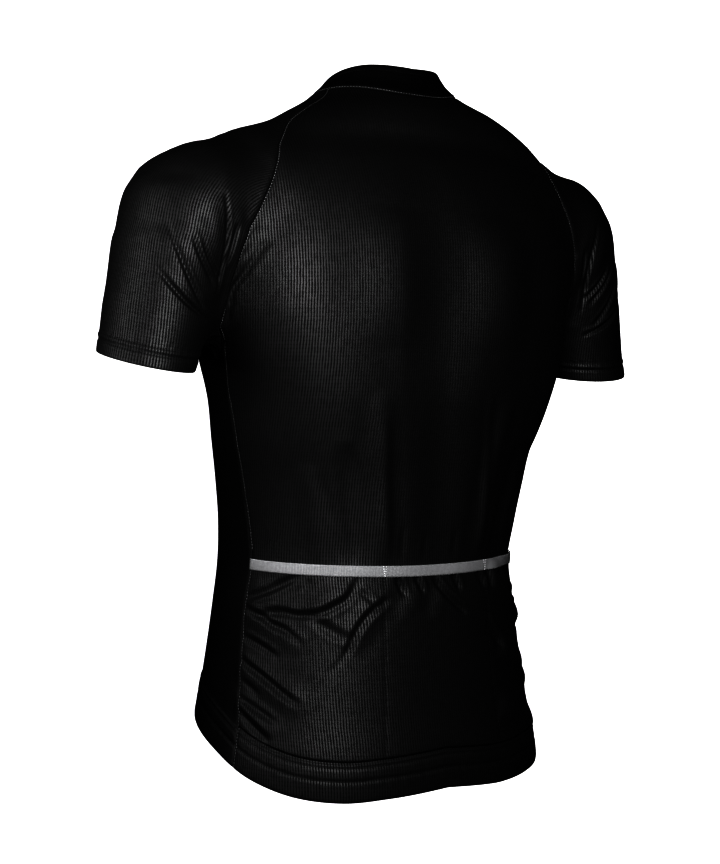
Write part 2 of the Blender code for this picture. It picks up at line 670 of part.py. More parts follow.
def build():
    for old in list(bpy.data.objects):
        bpy.data.objects.remove(old, do_unlink=True)
    jersey = bpy.data.collections.new("cycling_jersey")
    tools = bpy.data.collections.new("cutters")
    for collection in (jersey, tools):
        bpy.context.scene.collection.children.link(collection)
    knit = material("black_knit", (0.010, 0.010, 0.011), 0.62)
    smooth = material("black_smooth_knit", (0.008, 0.008, 0.009), 0.55)
    elastic = material("grey_elastic", (0.27, 0.27, 0.27), 0.6)
    nylon = material("black_nylon", (0.012, 0.012, 0.012), 0.4)
    metal = material("dark_metal", (0.05, 0.05, 0.052), 0.35, 1.0)

    lines = fold_lines()
    back = back_grid()
    cloth("back_panel", jersey, knit, lines, [back], [hemmed(back, LOW_ROWS["hem"], HEM_CLOTH)])
    pocket = back[POCKET_FOOT:BAND_TOP + 1]
    pocket_wall = HEM_CLOTH - CLOTH - LAID
    cloth("pocket_panel", jersey, knit, lines, [pocket], [even_wall(pocket, pocket_wall)],
          lift=CLOTH + LAID)
    band = back[BAND_FOOT:BAND_TOP + 1]
    cloth("pocket_band", jersey, elastic, lines, [band], [even_wall(band, CLOTH)],
          lift=HEM_CLOTH + LAID)
    under, front = front_grids()
    tube, cap = sleeve_grids()
    for side, mirrored in (("left", False), ("right", True)):
        cloth(f"front_{side}", jersey, smooth, lines, [under, front],
              [hemmed(g, LOW_ROWS["hem"], HEM_CLOTH) for g in (under, front)],
              mirrored=mirrored)
        cloth(f"sleeve_{side}", jersey, knit, lines, [tube, cap],
              [hemmed(tube, SLEEVE_HEM_ROWS, CUFF_CLOTH), even_wall(cap)], mirrored=mirrored)
    collar = collar_grid(back[-1], cap[-1], front[-1])
    cloth("collar", jersey, knit, lines, [collar], [even_wall(collar, COLLAR_CLOTH)])
    tape, tape_wall = tape_grid()
    cloth("zip_tape", jersey, nylon, lines, [tape], [tape_wall], lift=-TAPE_UNDER)
    zip_slider(jersey, tools, metal)
    zip_pull(jersey, tools, metal)


build()
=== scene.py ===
import math

import bmesh
import bpy
import numpy as np
from mathutils import Matrix, Vector


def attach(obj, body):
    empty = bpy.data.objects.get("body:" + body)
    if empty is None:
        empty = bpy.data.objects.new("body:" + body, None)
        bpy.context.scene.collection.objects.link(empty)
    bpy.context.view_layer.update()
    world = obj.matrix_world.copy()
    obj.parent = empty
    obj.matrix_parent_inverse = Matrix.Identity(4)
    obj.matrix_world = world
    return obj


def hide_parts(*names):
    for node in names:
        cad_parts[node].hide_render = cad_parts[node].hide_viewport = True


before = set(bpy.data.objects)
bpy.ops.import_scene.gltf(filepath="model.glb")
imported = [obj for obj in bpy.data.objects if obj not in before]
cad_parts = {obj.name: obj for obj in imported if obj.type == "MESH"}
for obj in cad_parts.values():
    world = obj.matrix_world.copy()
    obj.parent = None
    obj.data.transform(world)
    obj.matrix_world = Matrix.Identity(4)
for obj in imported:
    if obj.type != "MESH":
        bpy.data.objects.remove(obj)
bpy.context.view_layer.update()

# A short-sleeved cycling jersey, worn and hollow. Sizes are in millimetres and go to metres where a
# mesh is made. The wearer faces -Y, the wearer's left is +X, and the base of the neck is the origin.
mm = 0.001


def table(columns, *rows):
    return dict(zip(columns.split(), np.array(rows, float).T))


# the figure inside the jersey: level sections of the trunk and neck, then the left arm
trunk = table(
    "level width centre back front backRound frontRound",
    (-720, 187, -19, 142, 140, 2.4, 2.2),
    (-660, 187, -18, 141, 140, 2.4, 2.2),
    (-600, 175, -18, 133, 138, 2.4, 2.2),
    (-543, 165, -18, 128, 133, 2.4, 2.2),
    (-500, 159, -18, 126, 128, 2.4, 2.2),
    (-461, 154, -18, 122, 125, 2.4, 2.2),
    (-420, 156, -14, 121, 124, 2.5, 2.2),
    (-378, 163, -9, 121, 124, 2.6, 2.2),
    (-337, 173, -2, 122, 124, 2.7, 2.2),
    (-296, 182, 4, 124, 124, 2.8, 2.2),
    (-250, 198, 8, 125, 124, 2.8, 2.2),
    (-210, 210, 10, 125, 121, 2.8, 2.2),
    (-170, 215, 14, 121, 115, 2.7, 2.2),
    (-130, 213, 19, 113, 107, 2.5, 2.2),
    (-95, 208, 24, 100, 96, 2.3, 2.1),
    (-65, 194, 28, 84, 86, 2.2, 2.0),
    (-44, 176, 30, 71, 76, 2.1, 2.0),
    (-26, 151, 29, 69, 68, 2.0, 2.0),
    (-10, 121, 26, 66, 60, 2.0, 2.0),
    (5, 88, 22, 60, 54, 2.0, 2.0),
    (18, 70, 20, 54, 49, 2.0, 2.0),
    (32, 60, 18, 51, 46, 2.0, 2.0),
    (60, 54, 12, 48, 44, 2.0, 2.0),
)
arm = table(
    "out back level width depth",
    (172, 23, -94, 50, 60),
    (223, 17, -114, 62, 72),
    (247, 15, -160, 57, 66),
    (262, 14, -215, 51, 57),
    (276, 14, -268, 45, 50),
    (287, 14, -320, 44, 49),
)
armBlend = 34.0  # how widely the arm runs into the trunk

# seams, as angles round the body from the centre back
sideSeam = table(
    "level angle",
    (-690, 84), (-640, 83.5), (-560, 87), (-500, 88.5), (-454, 87.5), (-400, 88),
    (-324, 86.5), (-290, 86), (-262, 83), (-236, 80),
)
backRaglan = table(
    "level angle",
    (-236, 80.5), (-212, 79.6), (-191, 78.4), (-167, 75.6), (-143, 71.8), (-119, 68),
    (-81, 65.3), (-54, 67), (-30, 71), (-4, 75), (11, 83),
)
frontRaglan = table(
    "level angle",
    (-236, 92.5), (-215, 97), (-190, 100.5), (-160, 103), (-120, 104.5), (-80, 105),
    (-45, 106), (-20, 108), (4, 112),
)
hemLine = table(
    "angle level",
    (0, -677), (30, -681), (48, -682), (62, -676), (76, -662), (92, -640), (110, -620),
    (126, -608), (150, -604), (180, -603),
)
collarLine = table(
    "angle seam top",
    (0, 3.5, 33), (20, 4.5, 34), (40, 7.5, 35), (60, 10.5, 35), (83, 11, 31), (97, 9.5, 26),
    (112, 4, 19), (130, -13, 10), (150, -32, 1), (180, -42, -7),
)
sleeveFan = table(
    "share out back level rise",
    (0.0, 262, 12, -225, 15), (0.25, 244, 13, -165, 25), (0.5, 205, 18, -112, 50),
    (0.7, 150, 22, -80, 74), (0.85, 105, 24, -52, 74), (1.0, 62, 22, -25, 52),
)

cut = dict(  # where the pattern's seams and edges run
    cornerLift=4.5, cornerAngle=-52.0, cornerReach=24.0,
    hemDepth=34.0, hemStep=4.0, bandBack=-460.0, bandRise=16.0, bandWidth=11.5,
    swing=0.022, underarm=-236.0, armholeDip=24.0, armholeIn=6.0,
    underWide=18.0, underShare=0.8, underEase=6, backEase=3, frontEase=2,
    neckBack=20.0, neckFrom=60, zipGap=8.0,
    cuffCentre=(275.0, 12.0, -263.0), cuffLean=6.0, cuffTip=12.5, cuffInner=28.0,
)
rowsOf = dict(hem=8, step=2, pocket=20, band=2, back=26)  # rows of cloth, from the hem up
grids = dict(arm=32, back=48, front=24, cap=40, inner=8, tube=12, collar=6,  # coarse cells
             finer=3, finerSleeve=5, samples=80)
lowCount = sum(rowsOf.values())
pocketFoot = rowsOf["hem"] + rowsOf["step"]
bandFoot = pocketFoot + rowsOf["pocket"]
bandTop = bandFoot + rowsOf["band"]


def curveAt(where, sections, column, key):  # one column of a table at any place, as a smooth curve
    xs, ys = sections[key], sections[column]
    slope = np.gradient(ys, xs)
    k = np.clip(np.searchsorted(xs, where) - 1, 0, len(xs) - 2)
    span = xs[k + 1] - xs[k]
    t = np.clip((where - xs[k]) / span, 0.0, 1.0)
    rise = ys[k + 1] - ys[k]
    bend = t * (1 - t) * ((1 - t) * (slope[k] * span - rise) - t * (slope[k + 1] * span - rise))
    return ys[k] + rise * t + bend


def outsideTrunk(p):  # roughly how far a point lies outside the trunk
    x, y, z = p[..., 0], p[..., 1], p[..., 2]
    width, centre, back, front, backRound, frontRound = (
        curveAt(z, trunk, name, "level")
        for name in ("width", "centre", "back", "front", "backRound", "frontRound"))
    y = y - centre
    depth = np.where(y > 0, back, front)
    power = np.where(y > 0, backRound, frontRound)
    size = ((np.abs(x) / width) ** power + (np.abs(y) / depth) ** power + 1e-9) ** (1 / power)
    return np.hypot(x, y) * (1 - 1 / size)


def outsideArm(here):  # roughly how far a point lies outside the left arm
    points = np.stack([arm["out"], arm["back"], arm["level"]], -1)
    steps = np.linalg.norm(np.diff(points, axis=0), axis=1)
    along = np.concatenate([[0.0], np.cumsum(steps)])
    sections = dict(arm, along=along)
    nearest = np.full(here.shape[:-1], 1e9)
    place = np.zeros(here.shape[:-1])
    for k, length in enumerate(steps):
        step = (points[k + 1] - points[k]) / length
        t = np.clip((here - points[k]) @ step, 0, length)
        gap = np.linalg.norm(here - points[k] - t[..., None] * step, axis=-1)
        closer = gap < nearest
        nearest, place = np.where(closer, gap, nearest), np.where(closer, along[k] + t, place)
    centre = np.stack([curveAt(place, sections, name, "along")
                       for name in ("out", "back", "level")], -1)
    off = here - centre
    aside = np.hypot(off[..., 0], off[..., 2])
    size = np.hypot(aside / curveAt(place, sections, "width", "along"),
                    off[..., 1] / curveAt(place, sections, "depth", "along"))
    return np.linalg.norm(off, axis=-1) * (1 - 1 / np.maximum(size, 1e-3))


def outsideFigure(p):  # trunk, neck and both arms, run together
    up = np.array([0.0, 0.0, 1.0])
    body = outsideTrunk(p)
    lean = (outsideTrunk(p + up) - outsideTrunk(p - up)) / 2
    body = body / np.hypot(1.0, lean)
    limb = outsideArm(np.concatenate([np.abs(p[..., :1]), p[..., 1:]], -1))
    share = np.clip(0.5 + 0.5 * (limb - body) / armBlend, 0, 1)
    return limb * (1 - share) + body * share - armBlend * share * (1 - share)


def unit(v):
    return v / np.maximum(np.linalg.norm(v, axis=-1, keepdims=True), 1e-9)


def runs(grid, axis):  # distance along a line, or a grid's rows or columns, from its start
    steps = np.linalg.norm(np.diff(grid, axis=axis), axis=-1)
    first = np.zeros_like(np.take(steps, [0], axis=axis))
    return np.cumsum(np.concatenate([first, steps], axis=axis), axis=axis)


def facing(p):  # the figure's outward direction
    h = 1.0
    return unit(np.stack([outsideFigure(p + h * e) - outsideFigure(p - h * e)
                          for e in np.eye(3)], -1))


def settle(p, steps=5):  # move points straight onto the figure
    for _ in range(steps):
        p = p - outsideFigure(p)[..., None] * facing(p)
    return p


def shoot(outside, origin, way, start=25.0, far=400.0, march=45, narrow=7):  # where rays come out
    origin, way = np.broadcast_arrays(origin, way)
    shape = way.shape
    origin, way = origin.reshape(-1, 3), way.reshape(-1, 3)
    near, out = np.full(len(way), start), np.full(len(way), far)
    inside, beyond = np.full(len(way), -1.0), np.full(len(way), 1.0)
    going = np.arange(len(way))
    for t in np.linspace(start, far, march):
        gap = outside(origin[going] + way[going] * t)
        out[going], beyond[going] = t, gap
        going, gap = going[gap <= 0], gap[gap <= 0]
        near[going], inside[going] = t, gap
    for _ in range(narrow):
        share = np.clip(inside / (inside - beyond), 0.05, 0.95)
        t = near + (out - near) * share
        gap = outside(origin + way * t[:, None])
        low = gap <= 0
        near, inside = np.where(low, t, near), np.where(low, gap, inside)
        out, beyond = np.where(low, out, t), np.where(low, beyond, gap)
    t = near + (out - near) * inside / (inside - beyond)
    return (origin + way * t[:, None]).reshape(shape)


def axisBack(level):  # the axis that angles are taken round leans back to the neck's
    return cut["neckBack"] * np.clip((level + cut["neckFrom"]) / cut["neckFrom"], 0, 1)


def around(angle, level):  # points of the figure at angles from the centre back, and levels
    angle, level = np.broadcast_arrays(np.radians(angle), np.asarray(level, float))
    origin = np.stack([0 * level, axisBack(level), level], -1)
    way = np.stack([np.sin(angle), np.cos(angle), 0 * level], -1)
    return settle(shoot(outsideTrunk, origin, way))


def swing(angle):  # the band and the hem hang lower on the wearer's left
    return cut["swing"] * trunk["width"].min() * np.sin(np.radians(angle))


def bandLevel(angle):
    return cut["bandBack"] + cut["bandRise"] * (1 - np.cos(np.radians(angle))) / 2 - swing(angle)


def hemLevel(angle):
    corner = np.clip(1 - ((angle - cut["cornerAngle"]) / cut["cornerReach"]) ** 2, 0, 1) ** 2
    level = curveAt(np.abs(angle), hemLine, "level", "angle")
    return level - swing(angle) + cut["cornerLift"] * corner


def lowRows(angle):  # levels of the rows from the hem to the underarm
    angle = np.asarray(angle, float)
    hem, band = hemLevel(angle), bandLevel(angle)
    top = hem + cut["hemDepth"]
    stations = [hem, top, top + cut["hemStep"], band - cut["bandWidth"], band,
                cut["underarm"] + 0 * hem]
    rows = [stations[0]]
    for start, end, count in zip(stations, stations[1:], rowsOf.values()):
        rows += [start + (end - start) * (k + 1) / count for k in range(count)]
    return np.array(rows)


def sideSeamAngles():
    angle = np.full(lowCount + 1, sideSeam["angle"].mean())
    for _ in range(4):
        angle = curveAt(np.diagonal(lowRows(angle)), sideSeam, "angle", "level")
    return angle


def raglan(seam):  # the armhole's rows from the underarm to the collar, evenly spread
    level = np.linspace(seam["level"][0], seam["level"][-1], grids["samples"])
    points = around(curveAt(level, seam, "angle", "level"), level)
    run = runs(points, 0)
    level = np.interp(np.linspace(0, run[-1], grids["arm"] + 1), run, level)
    return curveAt(level, seam, "angle", "level"), level


def collarLevel(angle, edge):
    return curveAt(np.abs(angle), collarLine, edge, "angle")


def zipRows():  # levels of the fronts' rows at the zip, from the hem to the collar's seam
    return np.concatenate([lowRows(180.0)[:-1],
                           np.linspace(cut["underarm"], collarLine["seam"][-1], grids["arm"] + 1)])


def zipAngle(level, halfGap):  # the angle at which the front is halfGap from its middle
    depth = np.linalg.norm(around(180.0, level)[..., :2]
                           - np.stack([0 * level, axisBack(level)], -1), axis=-1)
    return 180 - np.degrees(np.arcsin(halfGap / depth))


def backGrid():  # the back, a row from right to left at each level
    side = sideSeamAngles()
    angle, level = raglan(backRaglan)
    t = np.linspace(-1, 1, grids["back"] + 1)
    lowAngle = side[:, None] * t
    lowLevel = np.stack([lowRows(a)[k] for k, a in enumerate(lowAngle)])
    topAngle = angle[1:, None] * t
    share = np.linspace(0, 1, grids["arm"] + 1)[1:, None] ** cut["backEase"]
    topLevel = level[1:, None] + share * (collarLevel(topAngle, "seam") - level[-1])
    return around(np.concatenate([lowAngle, topAngle]), np.concatenate([lowLevel, topLevel]))


def underCurve():  # the armhole's dip under the left arm, from the side seam forward
    back, front = (around(seam["angle"][0], cut["underarm"]) for seam in (backRaglan, frontRaglan))
    t = np.linspace(0, 1, grids["inner"] + 1)[:, None]
    dip = np.sin(math.pi * t) * np.array([-cut["armholeIn"], 0.0, -cut["armholeDip"]])
    points = settle(back * (1 - t) + front * t + dip)
    points[0], points[-1] = back, front
    return points


def frontGrids():  # the part of the left front under the armhole, and the part up to the zip
    side = sideSeamAngles()
    angle, level = raglan(frontRaglan)
    edge = np.interp(np.arange(lowCount + 1), [0, lowCount], [side[0] + cut["underWide"], angle[0]])
    t = np.linspace(0, 1, grids["inner"] + 1)
    underAngle = side[:, None] + (edge - side)[:, None] * t
    underLevel = np.stack([lowRows(a)[k] for k, a in enumerate(underAngle)])
    last = underCurve()
    soft = np.linspace(0, 1, lowCount + 1)[:-1, None] ** cut["underEase"]
    down = (last[:, 2] - last[0, 2] - (last[-1, 2] - last[0, 2]) * t) * cut["underShare"]
    under = around(underAngle[:-1], underLevel[:-1] + soft * down)
    under = np.concatenate([under, last[None]])

    centre = zipRows()
    zipSide = zipAngle(centre, cut["zipGap"] / 2)
    t = np.linspace(0, 1, grids["front"] + 1)
    start = np.concatenate([edge[:-1], angle])
    wide = start[:, None] + (zipSide - start)[:, None] * t
    lowLevel = np.stack([lowRows(a)[k] for k, a in enumerate(wide[:lowCount])])
    straight = level[:, None] + (centre[lowCount:] - level)[:, None] * t
    share = np.linspace(0, 1, grids["arm"] + 1)[:, None] ** cut["frontEase"]
    topLevel = straight + share * (collarLevel(wide[-1], "seam") - straight[-1])
    return under, around(wide, np.concatenate([lowLevel, topLevel]))


def sleeveGrids():  # the tube from the cuff to the underarm, and the cap up to the collar
    back = around(*raglan(backRaglan))
    front = around(*raglan(frontRaglan))
    share = np.linspace(0, 1, grids["arm"] + 1)
    fan = {name: curveAt(share, sleeveFan, name, "share")
           for name in ("out", "back", "level", "rise")}
    middle = np.stack([fan["out"], fan["back"], fan["level"]], -1)
    rise = np.radians(fan["rise"])
    top = np.stack([np.cos(rise), 0 * rise, np.sin(rise)], -1)
    half = np.linspace(0, 1, grids["cap"] // 2 + 1)[:, None]

    def turn(a, b):  # directions from a to b, turning evenly
        angle = np.arccos(np.clip((a * b).sum(-1), -1, 1))[:, None, None]
        return (np.sin((1 - half) * angle) * a[:, None]
                + np.sin(half * angle) * b[:, None]) / np.sin(angle)

    first = turn(unit(back - middle), top)
    second = turn(top, unit(front - middle))
    way = unit(np.concatenate([first, second[:, 1:]], axis=1))
    cap = shoot(outsideFigure, middle[:, None], way)
    neck = np.linspace(backRaglan["angle"][-1], frontRaglan["angle"][-1], grids["cap"] + 1)
    cap[-1] = around(neck, collarLevel(neck, "seam"))
    cap[:, 0], cap[:, -1] = back, front

    under = underCurve()
    ring = np.concatenate([cap[0], under[::-1][1:]])
    inner = cut["cuffInner"]
    psi = np.radians(np.concatenate([
        np.linspace(180 - inner, inner - 180, grids["cap"] + 1),
        np.linspace(inner - 180, -180 - inner, grids["inner"] + 1)[1:]]))
    lean, tip = math.radians(cut["cuffLean"]), math.radians(cut["cuffTip"])
    outward = np.array([math.cos(lean), 0, math.sin(lean)])
    backward = np.array([0, math.cos(tip), -math.sin(tip)])
    way = np.cos(psi)[:, None] * outward + np.sin(psi)[:, None] * backward
    cuff = shoot(outsideFigure, np.array(cut["cuffCentre"]), way)
    shares = np.linspace(0, 1, grids["tube"] + 1)
    tube = np.stack([cuff] + [settle(cuff * (1 - s) + ring * s) for s in shares[1:-1]] + [ring])
    tube[:, -1] = tube[:, 0]
    return tube, cap


def collarGrid(back, cap, front):  # from one front edge round the back to the other
    left = np.concatenate([cap[1:], front[1:]])
    seam = np.concatenate([(left * np.array([-1, 1, 1]))[::-1], back, left])
    angle = np.degrees(np.arctan2(seam[:, 0], seam[:, 1] - cut["neckBack"]))
    edge = around(angle, collarLevel(angle, "top"))
    edge[0, 0], edge[-1, 0] = -cut["zipGap"] / 2, cut["zipGap"] / 2
    t = np.linspace(0, 1, grids["collar"] + 1)[:, None, None]
    rows = settle(seam * (1 - t) + edge * t, 4)
    rows[0], rows[-1] = seam, edge
    return rows


def smoothed(grid, times):  # more points between a line's points, on a smooth curve through them
    count = len(grid) - 1
    place = np.linspace(0, count, count * times + 1)
    k = np.clip(place.astype(int), 0, count - 1)
    f = (place - k).reshape(-1, *[1] * (grid.ndim - 1))
    longer = np.concatenate([2 * grid[:1] - grid[1:2], grid, 2 * grid[-1:] - grid[-2:-1]])
    a, b, c, d = (longer[k + j] for j in range(4))
    return b + 0.5 * f * (c - a + f * (2 * a - 5 * b + 4 * c - d + f * (3 * (b - c) + d - a)))


def finer(grid, times):
    return smoothed(smoothed(grid, times).swapaxes(0, 1), times).swapaxes(0, 1)


bodyForm = table(  # shoulder blades, the hollow of the back and folds up from the pocket's seams
    "angle1 level1 angle2 level2 reach depth",
    (25, -115, 27, -250, 92, 5),
    (0, -80, 0, -480, 56, -2.4),
    (30, -462, 33, -290, 30, 2.6),
    (44, -462, 46, -340, 28, -2.4),
    (58, -462, 60, -360, 26, 1.6),
)
pocketFolds = table(  # the pockets' largest folds
    "angle1 level1 angle2 level2 reach depth",
    (46, -478, 62, -506, 30, 2.2), (64, -506, 86, -486, 30, 1.8),
    (88, -503, 62, -536, 30, 2.2), (33, -490, 48, -540, 30, 2.0),
    (88, -552, 60, -598, 32, 2.6), (87, -590, 68, -620, 26, 2.0),
    (20, -474, 28, -510, 24, -1.4), (2, -474, 9, -512, 24, -1.4),
    (-36, -468, -62, -510, 34, 3.8), (-40, -545, -64, -572, 34, 3.8),
    (-36, -604, -66, -634, 36, 4.2), (-88, -486, -64, -530, 30, 3.2),
    (-88, -556, -66, -590, 30, 1.8), (-88, -606, -70, -640, 32, 3.0),
)
sleeveFolds = table(  # creases that run out from the underarm on both sleeves
    "out1 back1 level1 out2 back2 level2 reach depth",
    (292, 56, -172, 240, 66, -222, 26, -1.4),
    (280, 63, -132, 246, 72, -206, 24, -1.5),
    (256, 80, -134, 230, 73, -196, 22, -1.2),
    (232, 88, -108, 222, 68, -192, 22, -1.4),
    (200, 86, -148, 222, 56, -216, 24, -2.0),
    (272, -48, -150, 236, -45, -214, 28, -2.0),
    (240, -60, -115, 222, -46, -195, 26, -1.8),
)


def alongLine(p, line, reach, depth, way=None, lean=0.0, ripple=1, fade=4):
    # a soft trough or rise that fades at its ends; lean makes one side of it high and the other low,
    # and a ripple turns the cloth the other way beside it
    steps = np.diff(line, axis=0)
    lengths = np.linalg.norm(steps, axis=1)
    start = runs(line, 0)
    rise = np.zeros(p.shape[:-1])
    close = ((p > line.min(0) - reach) & (p < line.max(0) + reach)).all(-1)
    here = p[close]
    best, place, side = np.full(len(here), 1e9), np.zeros(len(here)), np.zeros(len(here))
    for k, run in enumerate(steps):
        t = np.clip(((here - line[k]) @ run) / (run @ run), 0, 1)
        off = here - line[k] - t[:, None] * run
        gap = np.linalg.norm(off, axis=-1)
        nearer = gap < best
        best = np.where(nearer, gap, best)
        place = np.where(nearer, (start[k] + t * lengths[k]) / start[-1], place)
        if lean:
            left = (np.cross(way[close], run) * off).sum(-1)
            side = np.where(nearer, np.sign(left), side)
    q = np.minimum(best / reach, 1)
    across = depth * np.cos(math.pi * q * ripple) + lean * side * np.sin(math.pi * q)
    rise[close] = across * (1 - q ** 2) ** 2 * (1 - np.abs(2 * place - 1) ** fade)
    return rise


def mainFolds():  # every main fold: its line, reach, depth, whether it is on both sides, its ripple
    lines = []
    for form, both in ((bodyForm, True), (pocketFolds, False)):
        ends = [around(form[f"angle{k}"], form[f"level{k}"]) for k in (1, 2)]
        lines += [(np.array([a, b]), reach, depth, both, 1)
                  for a, b, reach, depth in zip(*ends, form["reach"], form["depth"])]
    ends = [np.stack([sleeveFolds[f"{name}{k}"] for name in ("out", "back", "level")], -1)
            for k in (1, 2)]
    lines += [(np.array([a, b]), reach, depth, True, 1)
              for a, b, reach, depth in zip(*ends, sleeveFolds["reach"], sleeveFolds["depth"])]
    return lines


broadReach = 80  # a rise as wide as this fades all along its line, a narrower fold only at its ends


def folds(p, lines):  # how far the cloth stands off the figure, from a set of folds
    both = p * np.where(p[..., :1] < 0, np.array([-1.0, 1, 1]), 1.0)
    return sum(alongLine(both if twoSided else p, line, reach, depth, ripple=ripple,
                         fade=4 if ripple and reach < broadReach else 2)
               for line, reach, depth, twoSided, ripple in lines)


print("figure ready")


def newFinish(name):  # a material, with its nodes and its shader
    made = bpy.data.materials.new(name)
    made.use_nodes = True
    return made, made.node_tree, made.node_tree.nodes["Principled BSDF"]


def calc(tree, operation, *values):  # a Math node, with sockets or numbers
    made = tree.nodes.new("ShaderNodeMath")
    made.operation = operation
    for socket, value in zip(made.inputs, values):
        if isinstance(value, (int, float)):
            socket.default_value = value
        else:
            tree.links.new(value, socket)
    return made.outputs[0]


def remap(tree, value, low, high, start=0.0, end=1.0):  # a smooth step from low to high
    made = tree.nodes.new("ShaderNodeMapRange")
    made.interpolation_type = "SMOOTHSTEP"
    for name, number in (("From Min", low), ("From Max", high), ("To Min", start), ("To Max", end)):
        made.inputs[name].default_value = number
    tree.links.new(value, made.inputs["Value"])
    return made.outputs["Result"]


def colourBy(tree, shader, share, first, second):  # the base colour goes from one to the other
    made = tree.nodes.new("ShaderNodeMix")
    made.data_type = "RGBA"
    made.inputs["A"].default_value = (*first, 1)
    made.inputs["B"].default_value = (*second, 1)
    tree.links.new(share, made.inputs["Factor"])
    tree.links.new(made.outputs["Result"], shader.inputs["Base Color"])


def noise(tree, scale, detail=3.0):
    made = tree.nodes.new("ShaderNodeTexNoise")
    made.inputs["Scale"].default_value = scale
    made.inputs["Detail"].default_value = detail
    place = tree.nodes.new("ShaderNodeTexCoord")
    tree.links.new(place.outputs["Object"], made.inputs["Vector"])
    return made.outputs["Fac"]


def wave(tree, place, pitch=1.0):  # rises to 1 and falls to -1, once in each pitch
    return calc(tree, "COSINE", calc(tree, "MULTIPLY", place, 2 * math.pi / pitch))


def clothPlace(tree):  # across and along the cloth, in millimetres
    uv = tree.nodes.new("ShaderNodeUVMap")
    uv.uv_map = "weave"
    parts = tree.nodes.new("ShaderNodeSeparateXYZ")
    tree.links.new(uv.outputs["UV"], parts.inputs["Vector"])
    return [calc(tree, "MULTIPLY", parts.outputs[axis], 1000.0) for axis in ("X", "Y")]


def bump(tree, shader, height, strength, distance):
    made = tree.nodes.new("ShaderNodeBump")
    made.inputs["Strength"].default_value = strength
    made.inputs["Distance"].default_value = distance * mm
    tree.links.new(height, made.inputs["Height"])
    tree.links.new(made.outputs["Normal"], shader.inputs["Normal"])


# where a valley, an eyelet and an uneven patch begin and where they are full, on their own waves; the
# valleys and eyelets give the grooves their relief and also their painted shade
stitch = dict(valleyShade=(-0.5, 0.8), eyeletShade=(0.2, 1.5), patch=(0.3, 0.7))


def knitMaterial(name, look):  # raised columns of stitches, with rows of small eyelets in the grooves
    made, tree, shader = newFinish(name)
    across, along = clothPlace(tree)
    wander = remap(tree, noise(tree, look["wanderScale"]), 0.0, 1.0, -look["wander"], look["wander"])
    x = calc(tree, "DIVIDE", calc(tree, "ADD", across, wander), look["columnWidth"])
    y = calc(tree, "DIVIDE", along, look["rowHeight"])
    columns, rows = wave(tree, x), wave(tree, y)
    # the valleys and eyelets set the grooves' relief and roughness, and also darken the base colour
    # there as painted shade
    valleys = remap(tree, columns, *stitch["valleyShade"])
    eyelets = remap(tree, calc(tree, "ADD", columns, rows), *stitch["eyeletShade"])
    dark = calc(tree, "MAXIMUM", calc(tree, "MULTIPLY", valleys, look["valleyShade"]), eyelets)
    patchy = noise(tree, look["unevenScale"])
    uneven = remap(tree, patchy, *stitch["patch"], -look["uneven"], look["uneven"])
    share = calc(tree, "ADD", dark, uneven)
    # the second, darker colour is painted shade in the grooves and eyelets; the first is the yarn's own
    # black
    colourBy(tree, shader, share, look["yarn"], look["eyeletShade"])
    rough = remap(tree, share, 0.0, 1.0, look["roughness"], look["valleyRoughness"])
    tree.links.new(rough, shader.inputs["Roughness"])
    shader.inputs["Specular IOR Level"].default_value = look["gloss"]
    height = calc(tree, "SUBTRACT", 1.0, dark)
    bump(tree, shader, height, look["bump"], look["relief"])
    return made


ribShare, ribMottle = 0.6, 0.15  # how much the ribs count against the picks, and the mottle


def ribMaterial(name, look):  # a woven band: fine ribs across it, and picks along it
    made, tree, shader = newFinish(name)
    across, along = clothPlace(tree)
    ribs, picks = wave(tree, across, look["ribWidth"]), wave(tree, along, look["pickHeight"])
    weave = calc(tree, "ADD", calc(tree, "MULTIPLY", ribs, ribShare),
                 calc(tree, "MULTIPLY", picks, 1 - ribShare))
    mottle = remap(tree, noise(tree, look["mottleScale"]), *stitch["patch"], -ribMottle, ribMottle)
    share = calc(tree, "ADD", remap(tree, weave, -1.0, 1.0), mottle)
    # the darker colour is painted shade in the grooves between the ribs and picks; the mottle is the
    # yarn's own uneven tone
    colourBy(tree, shader, share, look["valleyShade"], look["yarn"])
    shader.inputs["Roughness"].default_value = look["roughness"]
    shader.inputs["Specular IOR Level"].default_value = look["gloss"]
    bump(tree, shader, weave, look["bump"], look["relief"])
    return made


def threadMaterial(name, look):  # twisted thread, with a fleck along it
    made, tree, shader = newFinish(name)
    twist = noise(tree, look["twistScale"], detail=2.0)
    colourBy(tree, shader, remap(tree, twist, 0.35, 0.65), look["dark"], look["light"])
    shader.inputs["Roughness"].default_value = look["roughness"]
    bump(tree, shader, twist, strength=0.4, distance=0.1)
    return made


def metalMaterial(name, look):  # dark painted metal, rubbed and finely scratched
    made, tree, shader = newFinish(name)
    rubbed = remap(tree, noise(tree, look["rubScale"], detail=5.0), *look["rubEdge"])
    colourBy(tree, shader, rubbed, look["paint"], look["rubbed"])
    grain = noise(tree, look["grainScale"], detail=6.0)
    tree.links.new(remap(tree, grain, *stitch["patch"], *look["roughness"]),
                   shader.inputs["Roughness"])
    shader.inputs["Metallic"].default_value = look["metallic"]
    bump(tree, shader, grain, strength=0.15, distance=0.05)
    return made
